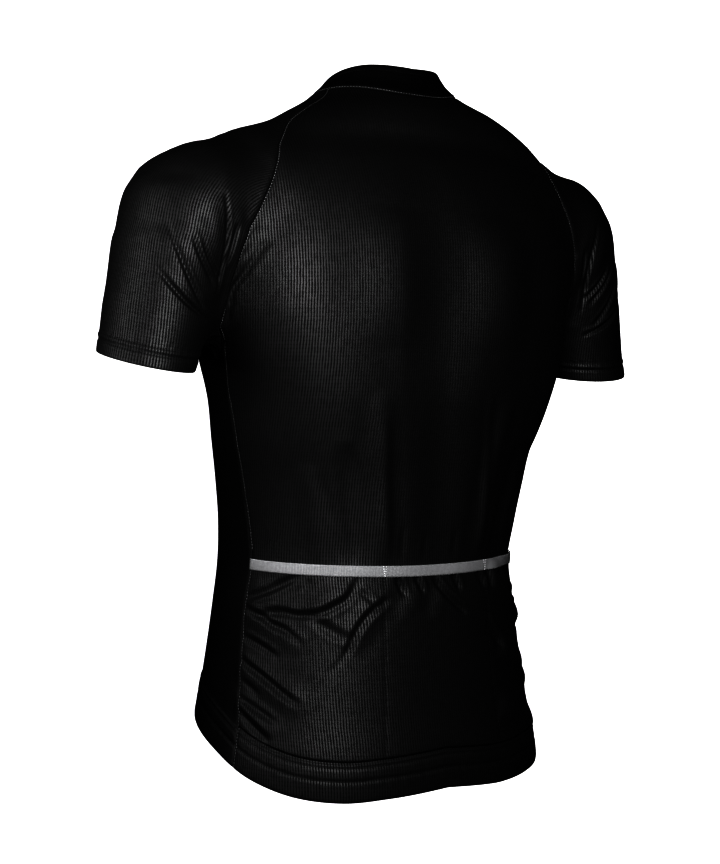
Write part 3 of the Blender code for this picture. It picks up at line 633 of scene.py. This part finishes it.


# each knit's eyelet colour is the painted shade of its grooves and eyelets, not a second yarn
meshKnit = knitMaterial("black mesh knit", dict(
    columnWidth=2.8, rowHeight=3.8, wander=0.5, wanderScale=70.0,
    yarn=(0.0095, 0.0095, 0.0098), eyeletShade=(0.0012, 0.0012, 0.0012), valleyShade=0.8,
    uneven=0.16, unevenScale=160.0, roughness=0.52, valleyRoughness=0.88, gloss=0.46,
    bump=0.4, relief=0.18))
smoothKnit = knitMaterial("black smooth knit", dict(
    columnWidth=1.3, rowHeight=1.7, wander=0.2, wanderScale=60.0,
    yarn=(0.006, 0.006, 0.0062), eyeletShade=(0.0024, 0.0024, 0.0024), valleyShade=0.6,
    uneven=0.08, unevenScale=80.0, roughness=0.48, valleyRoughness=0.7, gloss=0.26,
    bump=0.35, relief=0.12))
# each band's valley colour is the painted shade between its ribs, not a second yarn
elastic = ribMaterial("grey woven elastic", dict(
    ribWidth=1.5, pickHeight=1.1, yarn=(0.175, 0.175, 0.177), valleyShade=(0.12, 0.12, 0.122),
    mottleScale=700.0, roughness=0.75, gloss=0.25, bump=0.45, relief=0.2))
tapeWeave = ribMaterial("black zip tape", dict(
    ribWidth=1.1, pickHeight=0.9, yarn=(0.014, 0.014, 0.014), valleyShade=(0.006, 0.006, 0.006),
    mottleScale=900.0, roughness=0.6, gloss=0.3, bump=0.5, relief=0.15))
blackThread = threadMaterial("black thread", dict(
    twistScale=1600.0, dark=(0.004, 0.004, 0.004), light=(0.012, 0.012, 0.012), roughness=0.6))
seamThreadFinish = threadMaterial("charcoal seam thread", dict(
    twistScale=1600.0, dark=(0.08, 0.08, 0.082), light=(0.2, 0.2, 0.202), roughness=0.38))
greyThread = threadMaterial("grey thread", dict(
    twistScale=1600.0, dark=(0.3, 0.3, 0.305), light=(0.46, 0.46, 0.465), roughness=0.5))
nylonTeeth = threadMaterial("black nylon teeth", dict(
    twistScale=500.0, dark=(0.010, 0.010, 0.010), light=(0.018, 0.018, 0.018), roughness=0.32))
darkMetal = metalMaterial("dark painted metal", dict(
    paint=(0.03, 0.03, 0.032), rubbed=(0.16, 0.16, 0.165), rubScale=350.0, rubEdge=(0.45, 0.7),
    grainScale=1500.0, roughness=(0.28, 0.5), metallic=0.85))
print("materials ready")


def near(distance, reach):  # 1 at an edge or line, falling softly to 0 at its reach
    share = np.abs(distance) / reach
    return np.clip(1 - share, 0, 1) ** 2 * (1 + 2 * np.clip(share, 0, 1))


def step(distance, start, width):  # a soft step up from 0 to 1 past the start
    t = np.clip((distance - start) / width, 0, 1)
    return t * t * (3 - 2 * t)


def layGrid(bm, points, uv):  # one grid of cloth, row by row, with its place on the cloth
    rows, columns = points.shape[:2]
    made = bmesh.ops.create_grid(bm, x_segments=columns - 1, y_segments=rows - 1, size=0.5)
    acrossLayer, alongLayer = (bm.verts.layers.float[name] for name in ("across", "along"))
    for vert in made["verts"]:
        r = round((vert.co.y + 0.5) * (rows - 1))
        c = round((vert.co.x + 0.5) * (columns - 1))
        vert.co = points[r, c] * mm
        vert[acrossLayer], vert[alongLayer] = uv[r, c] * mm


def addMesh(name, bm, material):
    mesh = bpy.data.meshes.new(name)
    bm.to_mesh(mesh)
    bm.free()
    mesh.polygons.foreach_set("use_smooth", [True] * len(mesh.polygons))
    mesh.materials.append(material)
    made = bpy.data.objects.new(name, mesh)
    bpy.context.scene.collection.objects.link(made)
    return made


knitThick = 0.9


def layCloth(name, material, sheets, thickness=knitThick):  # a cloth piece from its fine grids
    bm = bmesh.new()
    for layer in ("across", "along"):
        bm.verts.layers.float.new(layer)
    for points, uv in sheets:
        layGrid(bm, points, uv)
    weave = bm.loops.layers.uv.new("weave")
    acrossLayer, alongLayer = (bm.verts.layers.float[layer] for layer in ("across", "along"))
    for face in bm.faces:
        for loop in face.loops:
            loop[weave].uv = (loop.vert[acrossLayer], loop.vert[alongLayer])
    bmesh.ops.remove_doubles(bm, verts=bm.verts, dist=0.04 * mm)
    bmesh.ops.recalc_face_normals(bm, faces=bm.faces)
    bm.faces.ensure_lookup_table()
    middle = bm.faces[len(bm.faces) // 2]
    middle.normal_update()
    outward = facing(np.array(middle.calc_center_median())[None] / mm)[0]
    if middle.normal.dot(Vector(outward)) < 0:
        bmesh.ops.reverse_faces(bm, faces=bm.faces)
    made = addMesh(name, bm, material)
    wall = made.modifiers.new("thickness", "SOLIDIFY")
    wall.thickness, wall.offset = thickness * mm, -1.0
    return made


print("cloth tools ready")

# the wearer's stance, where one side differs from the other: broad rises, each with its reach,
# its rise and the points along its line
shoulders = [  # each point is out, back and level
    (42, -5.0, (270, -3, -80), (255, 4, -63), (238, 16, -53), (222, 22, -49), (198, 24, -44)),
    (46, -2.6, (276, 68, -148), (297, 42, -164), (304, 0, -168), (294, -44, -164)),
    (44, -4.2, (188, 23, -40), (165, 25, -30), (144, 22, -22), (120, 20, -10), (80, 14, 9)),
    (46, 7.0, (-36, 66, 15), (-84, 71, -8), (-118, 67, -20), (-150, 58, -33), (-190, 54, -48),
     (-240, 46, -58)),
    (38, -2.6, (-244, 54, -65), (-256, 62, -83), (-268, 68, -108), (-280, 66, -136)),
    (48, 5.6, (-176, 70, -215), (-165, 85, -260), (-156, 86, -305), (-150, 78, -350)),
    (46, 2.4, (-152, 77, -345), (-137, 72, -395), (-129, 70, -435), (-130, 66, -475)),
]
bladesAndSpine = [  # each point is an angle and a level
    (54, 4.4, (-20, -110), (-22, -160), (-21, -250), (-18, -320)),
    (38, -3.8, (13, -60), (13, -150), (11, -260), (8, -380)),
]

# creases: reach, depth, how far one side stands higher, then the points along the line
pocketCreases = [  # each point is an angle and a level
    (10, -2.9, -1, (88, -494), (78, -485), (71, -476), (65, -469)),
    (8, -1.2, 0.5, (64, -485), (62, -472)),
    (10, -2.9, 1.1, (83, -508), (72, -503), (65, -506), (57, -503), (52, -497), (47, -489), (42, -468)),
    (9, -2.5, 1.1, (88, -501), (79, -509), (74, -516), (69, -521), (63, -534)),
    (13, -1.8, 0.75, (61, -506), (53, -520), (45, -530)),
    (10, -3, -1.2, (28, -490), (37, -503), (42, -516), (45, -529), (48, -546)),
    (7, -0.6, -0.5, (44, -529), (48, -544), (54, -562)),
    (8, -1.2, 0.62, (43, -481), (38, -490), (34, -501)),
    (9, -2.1, 1, (88, -528), (79, -536), (71, -547)),
    (10, -3.2, 1.4, (88, -549), (76, -566), (69, -579), (62, -592)),
    (8, -1.2, 0.62, (85, -570), (77, -582)),
    (9, -2, 1, (86, -586), (77, -597), (69, -610)),
    (10, -2.9, 1.2, (85, -598), (77, -614), (71, -626)),
    (9, -2.5, 1.4, (24.3, -469), (19.5, -490)),
    (9, -2.3, 1.4, (13.2, -469), (8.0, -488)),
    (9, -2.3, 1.4, (2.7, -467), (-5.4, -488), (-19.3, -510)),
    (9, -2.2, 1.2, (-11.7, -469), (-16.4, -487)),
    (9, -1.8, 1, (-29.0, -469), (-33.5, -485)),
    (11, -2.6, -1.8, (-36, -466), (-38, -488)),
    (12, -2.9, 2.2, (-46, -466), (-52, -486), (-66, -500)),
    (12, -2.6, -2.5, (-86, -500), (-72, -522), (-62, -534)),
    (13, -3.1, -2.8, (-87, -566), (-76, -584), (-66, -600)),
    (11, -2.6, -2.2, (-86, -610), (-74, -626)),
    (12, -2.3, 2, (-33, -520), (-44, -548)),
]
backCreases = [  # each point is an angle and a level
    (14, 1.1, 0.4, (29, -455), (30, -400), (31, -310)),
    (13, -0.9, 0.3, (37, -455), (40, -400), (45, -345)),
    (9, -0.7, 0.3, (22, -455), (21, -420)),
    (12, -0.7, 0.3, (50, -455), (52, -415), (57, -370)),
    (13, 1.2, 0.5, (-30, -455), (-31, -400), (-22, -290)),
    (12, -0.9, 0.3, (-40, -455), (-43, -400)),
    (9, -0.5, 0.2, (8, -455), (7, -430)),
    (9, -0.6, 0.2, (-12, -455), (-13, -425)),
    (8, -3.4, 2.0, (64, -152), (70, -183), (74, -199), (77, -228)),
    (6.5, -1.4, 0.9, (68, -187), (72, -203), (77, -222)),
    (7, -1.3, 0.7, (73, -230), (79, -242), (84, -250)),
    (8, -2.2, -1.3, (-67, -158), (-70.5, -178), (-74, -194), (-78, -216)),
    (7, -1.3, -0.8, (-70, -196), (-74, -212), (-79, -226)),
]
sleeveCreases = [  # each point is out, back and level
    (7, -2.5, 1.6, (290, 60, -177), (279, 69, -195), (262, 70, -211), (235, 61, -226)),
    (6.5, -2.2, 0.91, (282, 61, -131), (272, 72, -166), (261, 73, -191), (243, 67, -217)),
    (6.5, -2.1, 1.3, (262, 79, -149), (252, 78, -170), (235, 71, -193)),
    (6, -1.8, 1, (253, 81, -155), (242, 78, -173), (227, 70, -189)),
    (6.5, -2.2, 0.1, (233, 88, -108), (228, 82, -143), (227, 76, -169), (229, 65, -204)),
    (6, -1.8, 0.1, (217, 86, -136), (220, 80, -157), (224, 72, -177)),
    (7.5, -2.3, -1.6, (276, -46, -150), (262, -50, -182), (236, -42, -218)),
    (7, -1.8, -1.3, (284, -36, -185), (268, -44, -208), (246, -40, -226)),
    (7.5, -2.6, -1.6, (246, -56, -118), (236, -54, -160), (224, -44, -200)),
    (7.5, -2.1, 1.3, (212, -62, -120), (214, -56, -160), (218, -44, -196)),
]


def onBody(line):  # angles and levels as points of the figure
    return around(line[:, 0], line[:, 1])


def creases(panel, rows, places):  # the rise of a set of creases on a panel
    rise = np.zeros(panel.points.shape[:-1])
    for reach, depth, lean, *points in rows:
        line = smoothed(places(np.array(points, float)), times=4)
        rise += alongLine(panel.points, line, reach, depth, panel.way, lean)
    return rise


lines = mainFolds()
for rows, places in ((shoulders, np.array), (bladesAndSpine, onBody)):
    for reach, rise, *points in rows:
        lines.append((places(np.array(points, float)), reach, rise, False, 0))
backCoarse = backGrid()
underCoarse, frontCoarse = frontGrids()
tubeCoarse, capCoarse = sleeveGrids()
collarCoarse = collarGrid(backCoarse[-1], capCoarse[-1], frontCoarse[-1])
print("panels laid out")


class Panel:  # a fine grid with its outward ways and the distances to its edges
    # each panel is then given a rise off the figure, and a uv that says where it lies on the cloth
    def __init__(self, coarse, times):
        self.points = finer(coarse, times)
        self.way = unit(finer(facing(coarse), times))
        self.measure()

    def measure(self):
        self.across, self.along = runs(self.points, 1), runs(self.points, 0)
        self.fromLeft, self.fromFoot = self.across, self.along
        self.fromRight = self.across[:, -1:] - self.across
        self.fromTop = self.along[-1:] - self.along
        self.fromSide = np.minimum(self.fromLeft, self.fromRight)

    def uvFrom(self, row=0, column=None):  # places on the cloth, from a row and the middle column
        column = self.points.shape[1] // 2 if column is None else column
        return np.stack([self.across - self.across[:, [column]], self.along - self.along[[row]]], -1)

    def raised(self):
        return self.points + self.way * self.rise[..., None]


def seamDip(*distances, depth=0.9, reach=3.6):  # the cloth turns in at its seams
    return -depth * np.maximum.reduce([near(d, reach) for d in distances])


def rim(distance, depth=0.5, reach=2.5):  # the cloth rounds in at an open edge
    return -depth * near(distance, reach)


def pucker(distance, run, size=0.12, pitch=8.0, reach=7.0):  # small ripples along a row of stitches
    turn = run * 2 * math.pi
    ripple = np.sin(turn / pitch) + 0.6 * np.sin(turn / (pitch * 1.63) + 1)  # two that don't repeat
    return size * ripple * near(distance, reach)


def fromAngle(points, angle):  # the distance round the body from an angle
    here = np.degrees(np.arctan2(points[..., 0], points[..., 1]))
    return (here - angle) * math.radians(1) * np.hypot(*points[..., :2].T).T


hem = dict(proud=1.4, lines=(20.0, 32.5), groove=0.75, reach=3.4, soft=4.0)


def hemRise(panel):  # the turned hem, with its rows of stitching drawn in
    rise = hem["proud"] * (1 - step(panel.fromFoot, cut["hemDepth"], hem["soft"]))
    for line in hem["lines"]:
        rise -= hem["groove"] * near(panel.fromFoot - line, hem["reach"])
    rise += rim(panel.fromFoot)
    fromLine = panel.fromFoot - hem["lines"][0]
    return rise + pucker(fromLine, panel.across, size=0.14, pitch=9.0, reach=14.0)


times = grids["finer"]
bandRow = bandTop * times
# the back sinks under the pockets; this starts past its hem, below the band and in from its sides
backLook = dict(under=2.6, foot=4.0, footSoft=10.0, top=-16.0, topSoft=8.0, side=3.0, sideSoft=10.0)
back = Panel(backCoarse, times)
back.uv = back.uvFrom(bandRow)
behind = (step(back.fromFoot, cut["hemDepth"] + backLook["foot"], backLook["footSoft"])
          * (1 - step(back.uv[..., 1], backLook["top"], backLook["topSoft"]))
          * step(back.fromSide, backLook["side"], backLook["sideSoft"]))
back.rise = (folds(back.points, lines) + hemRise(back) - backLook["under"] * behind
             + creases(back, backCreases, onBody)
             + seamDip(back.fromLeft, back.fromRight, back.fromTop)
             + pucker(back.fromSide, back.along))

# one piece of cloth makes three pockets, parted at the dividers' angles
pocketLook = dict(proud=1.4, dividers=(31.0, -34.0), divider=0.45, reach=2.6)
pocket = Panel(backCoarse[pocketFoot:bandTop + 1], times + 1)
pocket.uv = pocket.uvFrom(-1)
dividerGap = [fromAngle(pocket.points, angle) for angle in pocketLook["dividers"]]
pocket.rise = (pocketLook["proud"] + folds(pocket.points, lines)
               + creases(pocket, pocketCreases, onBody)
               + seamDip(pocket.fromSide, depth=1.0)
               + pucker(pocket.fromSide, pocket.along, size=0.15)
               + rim(pocket.fromFoot, depth=0.4, reach=3.0))
for gap in dividerGap:
    pocket.rise -= pocketLook["divider"] * near(gap, pocketLook["reach"])
    pocket.rise += pucker(gap, pocket.along, size=0.08, pitch=7.0, reach=8.0)

bandLook = dict(proud=2.6, crown=0.45, thick=1.2, tackLean=1.6)
band = Panel(backCoarse[bandFoot:bandTop + 1], times + 1)
band.uv = band.uvFrom()
crown = 1 - (2 * band.fromFoot / band.along[-1:] - 1) ** 2
band.rise = (bandLook["proud"] + folds(band.points, lines) + bandLook["crown"] * crown
             + rim(band.fromSide, reach=3.0))

frontLook = dict(turned=7.0, proud=0.5, soft=2.0, topStitch=5.5)  # its edge beside the zip
front, under = Panel(frontCoarse, times), Panel(underCoarse, times)
under.points[:, -1] = front.points[:len(under.points), 0]
under.way[:, -1] = front.way[:len(under.way), 0]
under.measure()
front.uv, under.uv = front.uvFrom(bandRow, -1), under.uvFrom(bandRow, -1)
under.uv[..., 0] = front.uv[:len(under.points), :1, 0] - under.fromRight
lowEnd, farOff = lowCount * times, 99.0
armEdge = np.where(np.arange(len(front.points))[:, None] >= lowEnd, front.fromLeft, farOff)
front.rise = (folds(front.points, lines) + hemRise(front)
              + seamDip(armEdge, front.fromTop)
              + frontLook["proud"] * (1 - step(front.fromRight, frontLook["turned"], frontLook["soft"]))
              + rim(front.fromRight, reach=2.0)
              + pucker(front.fromRight, front.along, size=0.35, pitch=26.0, reach=24.0))
under.rise = (folds(under.points, lines) + hemRise(under)
              + seamDip(under.fromLeft, under.fromTop)
              + pucker(under.fromLeft, under.along))
under.rise[:, -1] = front.rise[:len(under.points), 0]

# the sleeve is a tube up to the underarm and a cap from there to the collar
cuff = dict(depth=20.0, proud=0.9, soft=3.0, lines=(13.0, 20.0), groove=0.9, reach=3.2)
half = grids["cap"] + grids["inner"] // 2
rolled = np.concatenate([tubeCoarse[:, half:-1], tubeCoarse[:, :half + 1]], axis=1)
sleeveTimes = grids["finerSleeve"]
tube, cap = Panel(rolled, sleeveTimes), Panel(capCoarse, sleeveTimes)
capStart = grids["inner"] // 2 * sleeveTimes
capEnd = capStart + grids["cap"] * sleeveTimes
cap.points[0], cap.way[0] = tube.points[-1, capStart:capEnd + 1], tube.way[-1, capStart:capEnd + 1]
cap.measure()
tube.uv, cap.uv = tube.uvFrom(), cap.uvFrom()
cap.uv[..., 1] += tube.along[-1, capStart:capEnd + 1]
columns = np.arange(tube.points.shape[1])
openEdge = np.where((columns <= capStart) | (columns >= capEnd), tube.fromTop, farOff)
tube.rise = (folds(tube.points, lines) + creases(tube, sleeveCreases, settle)
             + cuff["proud"] * (1 - step(tube.fromFoot, cuff["depth"], cuff["soft"]))
             + rim(tube.fromFoot, depth=0.4, reach=2.0)
             + seamDip(tube.fromLeft, tube.fromRight, openEdge)
             + pucker(tube.fromFoot - cuff["depth"], tube.across, reach=9.0))
for line in cuff["lines"]:
    tube.rise -= cuff["groove"] * near(tube.fromFoot - line, cuff["reach"])
cap.rise = (folds(cap.points, lines) + creases(cap, sleeveCreases, settle)
            + seamDip(cap.fromLeft, cap.fromRight, cap.fromTop)
            + pucker(cap.fromSide, cap.along))
cap.rise[0] = tube.rise[-1, capStart:capEnd + 1]

collarLook = dict(proud=0.7, thick=1.7, topStitch=6.0, seamStitch=1.3)
collar = Panel(collarCoarse, times)
collar.uv = collar.uvFrom()
collar.rise = (collarLook["proud"] + folds(collar.points, lines)
               + seamDip(collar.fromFoot, depth=1.4)
               + rim(collar.fromTop) + rim(collar.fromTop - collarLook["topStitch"], depth=0.4)
               + pucker(collar.fromFoot, collar.across, size=0.15, reach=8.0))


def placed(panel, side=1):  # a panel's finished grid, on the left as it is or turned to the right
    return panel.raised() * np.array([side, 1, 1]), panel.uv


pieces = {}
for name, panel, material, thickness in (
        ("back_cloth", back, meshKnit, knitThick),
        ("pocket_cloth", pocket, meshKnit, knitThick),
        ("band_elastic", band, elastic, bandLook["thick"]),
        ("collar_cloth", collar, smoothKnit, collarLook["thick"])):
    pieces[name] = layCloth(name, material, [placed(panel)], thickness)
for word, side in (("left", 1), ("right", -1)):
    for part, panels, material in (("front", (under, front), smoothKnit),
                                   ("sleeve", (tube, cap), meshKnit)):
        name = f"{part}_{word}_cloth"
        pieces[name] = layCloth(name, material, [placed(panel, side) for panel in panels])
print("cloth laid")


def edgeLine(points, way, distance, gap):  # a line that keeps a gap from an edge, row by row
    line, ways = [], []
    for p, w, d in zip(points, way, distance):
        order = np.argsort(d)
        line.append([np.interp(gap, d[order], p[order, k]) for k in range(3)])
        ways.append([np.interp(gap, d[order], w[order, k]) for k in range(3)])
    return np.array(line), unit(np.array(ways))


def alongRows(panel, distance, gap, rows=slice(None), side=1):  # beside a side edge
    line, way = edgeLine(panel.raised()[rows], panel.way[rows], distance[rows], gap)
    flip = np.array([side, 1, 1])
    return line * flip, way * flip


def alongColumns(panel, distance, gap, side=1):  # beside a foot or a top
    line, way = edgeLine(panel.raised().swapaxes(0, 1), panel.way.swapaxes(0, 1), distance.T, gap)
    flip = np.array([side, 1, 1])
    return line * flip, way * flip


def bead(bm, middle, axes, size):  # a small round bead along its own three axes
    turned = Matrix([(*axis, 0) for axis in axes] + [(0, 0, 0, 1)]).transposed()
    scaled = Matrix.Diagonal((*(size / 2 * mm), 1))
    bmesh.ops.create_icosphere(bm, subdivisions=1, radius=1.0,
                               matrix=Matrix.Translation(middle * mm) @ turned @ scaled)


def sew(bm, line, way, thread):  # one row of stitches, each a low bead of thread
    run = runs(line, 0)
    pitch = thread["length"] + thread["gap"]
    count = max(int(run[-1] / pitch), 1)
    pitch = run[-1] / count
    place = (np.arange(count) + 0.5) * pitch

    def at(values, where):
        return np.stack([np.interp(where, run, values[:, k]) for k in range(3)], -1)

    ahead = unit(at(line, place + pitch / 2) - at(line, place - pitch / 2))
    out = at(way, place)
    aside = unit(np.cross(out, ahead))
    out = np.cross(ahead, aside)
    size = np.array([thread["length"], thread["width"], thread["height"]])
    for middle, *axes in zip(at(line, place) + out * thread["proud"], ahead, aside, out):
        bead(bm, middle, axes, size)


def sewn(name, material, rows, thread):
    bm = bmesh.new()
    for line, way in rows:
        sew(bm, line, way, thread)
    return addMesh(name, bm, material)


seamThread = dict(length=2.5, gap=0.5, width=0.85, height=0.6, proud=0.1)
hemThread = dict(length=2.4, gap=0.8, width=0.55, height=0.4, proud=0.05)
tackThread = dict(length=1.9, gap=0.2, width=0.7, height=0.5, proud=0.15)
sewing = dict(beside=1.5, pastBand=3, shortOfBand=-8, shortOfArm=-2, pocketFoot=2.0)
beside = sewing["beside"]  # from a seam to its row of stitching
upper, lower = slice(bandRow + sewing["pastBand"], None), slice(0, pocketFoot * times)
belowBand, belowArm = slice(0, sewing["shortOfBand"]), slice(0, sewing["shortOfArm"])
seamRows, hemRows = [], []
for edge in (back.fromLeft, back.fromRight):  # side seams and raglans, on the back
    seamRows += [alongRows(back, edge, beside, rows) for rows in (upper, lower)]
for edge in (pocket.fromLeft, pocket.fromRight):
    seamRows.append(alongRows(pocket, edge, beside, belowBand))
seamRows.append(alongColumns(collar, collar.fromFoot, collarLook["seamStitch"]))
for side in (1, -1):
    for edge in (cap.fromLeft, cap.fromRight):
        hemRows.append(alongRows(cap, edge, beside, side=side))
    hemRows.append(alongRows(front, armEdge, beside, slice(lowEnd, None), side))
    hemRows.append(alongRows(front, front.fromRight, frontLook["topStitch"], side=side))
    for line in cuff["lines"]:
        hemRows.append(alongColumns(tube, tube.fromFoot, line, side))
    for edge in (tube.fromLeft, tube.fromRight):
        hemRows.append(alongRows(tube, edge, beside, belowArm, side))
    for panel in (under, front):
        for line in hem["lines"]:
            hemRows.append(alongColumns(panel, panel.fromFoot, line, side))
for line in hem["lines"]:
    hemRows.append(alongColumns(back, back.fromFoot, line))
for gap in dividerGap:  # the rows that part the three pockets
    hemRows.append(alongRows(pocket, gap, 0.0, belowBand))
hemRows.append(alongColumns(collar, collar.fromTop, collarLook["topStitch"]))
hemRows.append(alongColumns(pocket, pocket.fromFoot, sewing["pocketFoot"]))
seamStitches = sewn("seam_stitches", seamThreadFinish, seamRows, seamThread)
hemStitches = sewn("hem_stitches", blackThread, hemRows, hemThread)

tackRows = []
for angle in pocketLook["dividers"]:  # bar tacks cross on the band where the pockets are parted
    gap = fromAngle(band.points, angle)
    for lean in (-bandLook["tackLean"], bandLook["tackLean"]):
        slant = np.linspace(0.0, lean, len(gap))[:, None]
        tackRows.append(alongRows(band, gap - slant, 0.0))
tacks = sewn("bar_tacks", greyThread, tackRows, tackThread)
print("sewing done")


zipLook = dict(tapeFrom=0.5, tapeTo=12.0, columns=6, finer=2, thick=0.7, under=1.55, edgeCord=2.9,
               toothPitch=1.3, toothSize=(2.7, 0.95, 1.5), toothOut=1.15, toothUnder=0.75)
collarRows = np.linspace(collarLine["seam"][-1], collarLine["top"][-1], grids["collar"] + 1)
zipLevels = np.concatenate([zipRows(), collarRows[1:]])
tapeColumns = np.linspace(zipLook["tapeFrom"], zipLook["tapeTo"], zipLook["columns"] + 1)
tapeCoarse = np.stack([around(zipAngle(zipLevels, gap), zipLevels) for gap in tapeColumns[::-1]], 1)
tape = Panel(tapeCoarse, zipLook["finer"])
tape.rise = folds(tape.points, lines) - zipLook["under"]
tape.uv = tape.uvFrom(0, 0)
tapeHalves = [placed(tape, side) for side in (1, -1)]
tapeCloth = layCloth("zip_tape_cloth", tapeWeave, tapeHalves, zipLook["thick"])
line, way = tape.raised()[:, -1], tape.way[:, -1]
run, ahead = runs(line, 0), np.gradient(line, axis=0)
onMiddle = np.array([0.0, 1.0, 1.0])
bm = bmesh.new()
for k in range(int(run[-1] / zipLook["toothPitch"] * 2)):  # the teeth of the two sides take turns
    where = (k + 0.5) * zipLook["toothPitch"] / 2
    place, up, on = (np.array([np.interp(where, run, values[:, j]) for j in range(3)]) * onMiddle
                     for values in (line, way, ahead))
    up, on = unit(up), unit(on)
    place = place + up * (zipLook["under"] - zipLook["toothUnder"])
    place[0] = zipLook["toothOut"] if k % 2 else -zipLook["toothOut"]
    bead(bm, place, ((1, 0, 0), on, up), np.array(zipLook["toothSize"]))
teeth = addMesh("zip_teeth", bm, nylonTeeth)
cordGap = zipLook["edgeCord"] - zipLook["tapeFrom"]
cordRows = [alongRows(tape, tape.fromRight, cordGap, side=side) for side in (1, -1)]
cords = sewn("zip_cords", blackThread, cordRows, hemThread)
for name in ("zip_slider", "zip_pull"):
    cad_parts[name].data.materials.clear()
    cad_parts[name].data.materials.append(darkMetal)
print("zip done")


view = dict(azimuth=144.0, distance=1.95, height=-0.330, aside=0.013, pixel=0.00103, columns=720,
            sensor=36.0)
stage = dict(floor=-1.05, back=3.2, half=6.0, near=-4.0, top=6.0, curve=1.6, steps=12,
             colour=(0.9, 0.9, 0.895), roughness=0.9, glow=1.0)
cameraTurn = math.radians(view["azimuth"])
towards = Vector((math.sin(cameraTurn), -math.cos(cameraTurn), 0))  # from the object to the camera
rightwards = Vector((math.cos(cameraTurn), math.sin(cameraTurn), 0))


def buildStage():  # a floor that curves up into a wall behind the object
    profile = [(stage["near"], stage["floor"])]
    for k in range(stage["steps"] + 1):
        turn = k / stage["steps"] * math.pi / 2
        profile.append((stage["back"] - stage["curve"] * (1 - math.sin(turn)),
                        stage["floor"] + stage["curve"] * (1 - math.cos(turn))))
    profile.append((stage["back"], stage["top"]))
    bm = bmesh.new()
    verts = [bm.verts.new(-towards * away - rightwards * stage["half"] + Vector((0, 0, level)))
             for away, level in profile]
    edges = [bm.edges.new(pair) for pair in zip(verts, verts[1:])]
    made = bmesh.ops.extrude_edge_only(bm, edges=edges)
    moved = [v for v in made["geom"] if isinstance(v, bmesh.types.BMVert)]
    bmesh.ops.translate(bm, verts=moved, vec=rightwards * stage["half"] * 2)
    paper, _, shader = newFinish("pale floor")
    shader.inputs["Base Color"].default_value = (*stage["colour"], 1)
    shader.inputs["Roughness"].default_value = stage["roughness"]
    shader.inputs["Emission Color"].default_value = (1, 1, 1, 1)
    shader.inputs["Emission Strength"].default_value = stage["glow"]
    floor = addMesh("floor", bm, paper)
    floor.visible_diffuse = floor.visible_glossy = False


# lamps about the object, each with its turn from the camera, height, watts, width and own height
lamps = dict(key=(10, -0.09, 52.0, 0.9, 0.78), low=(-38, -0.44, 4.4, 0.6, 0.6),
             left=(-58, 0.04, 25.0, 1.0, 0.9), right=(60, -0.12, 1.7, 0.6, 0.6),
             front=(180, -0.2, 62.0, 0.6, 0.6))
light = dict(lampDistance=1.15, sky=0.018, gamma=0.34)


def areaLight(name, place, way, wide, high, power):
    lamp = bpy.data.lights.new(name, "AREA")
    lamp.shape = "ELLIPSE"
    lamp.size, lamp.size_y = wide, high
    lamp.energy = power
    made = bpy.data.objects.new(name, lamp)
    made.location = place
    made.rotation_euler = way.to_track_quat("-Z", "Y").to_euler()
    made.visible_camera = False
    bpy.context.scene.collection.objects.link(made)


def buildLight():
    for name, (turn, height, power, wide, high) in lamps.items():
        turn = math.radians(turn)
        level = Vector((0, 0, height))
        way = towards * math.cos(turn) + rightwards * math.sin(turn)
        place = way * light["lampDistance"] + level
        areaLight(name, place, level - place, wide, high, power)
    world = bpy.data.worlds.new("studio")
    world.use_nodes = True
    sky = world.node_tree.nodes["Background"]
    sky.inputs["Color"].default_value = (1, 1, 1, 1)
    sky.inputs["Strength"].default_value = light["sky"]
    bpy.context.scene.world = world
    bpy.context.scene.view_settings.view_transform = "Standard"
    bpy.context.scene.view_settings.gamma = light["gamma"]


def buildCamera():
    camera = bpy.data.cameras.new("camera")
    camera.sensor_fit, camera.sensor_width = "HORIZONTAL", view["sensor"]
    camera.lens = view["sensor"] * view["distance"] / (view["columns"] * view["pixel"])
    made = bpy.data.objects.new("camera", camera)
    made.location = (Vector((0, 0, view["height"])) - rightwards * view["aside"]
                     + towards * view["distance"])
    made.rotation_euler = (-towards).to_track_quat("-Z", "Y").to_euler()
    bpy.context.scene.collection.objects.link(made)
    bpy.context.scene.camera = made


buildStage()
buildLight()
buildCamera()
print("stage ready")


flats = {  # each cloth piece's frame node, finish and flat cut in metres, and the area that shows
    "back_cloth": ("back_panel", "knit", (0.51, 0.72), 0.30),
    "pocket_cloth": ("pocket_panel", "knit", (0.45, 0.20), 0.08),
    "band_elastic": ("pocket_band", "elastic", (0.44, 0.0115), 0.005),
    "collar_cloth": ("collar", "knit", (0.40, 0.04), 0.012),
    "front_left_cloth": ("front_left", "smooth_knit", (0.285, 0.65), 0.138),
    "front_right_cloth": ("front_right", "smooth_knit", (0.285, 0.65), 0.138),
    "sleeve_left_cloth": ("sleeve_left", "knit", (0.32, 0.41), 0.083),
    "sleeve_right_cloth": ("sleeve_right", "knit", (0.32, 0.41), 0.083),
}
for name, (node, finish, flat, area) in flats.items():
    piece = pieces[name]
    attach(piece, "jersey")
    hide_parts(node)
for piece in (seamStitches, hemStitches, tacks, tapeCloth, teeth, cords):
    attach(piece, "jersey")
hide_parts("zip_tape")

print("finished")
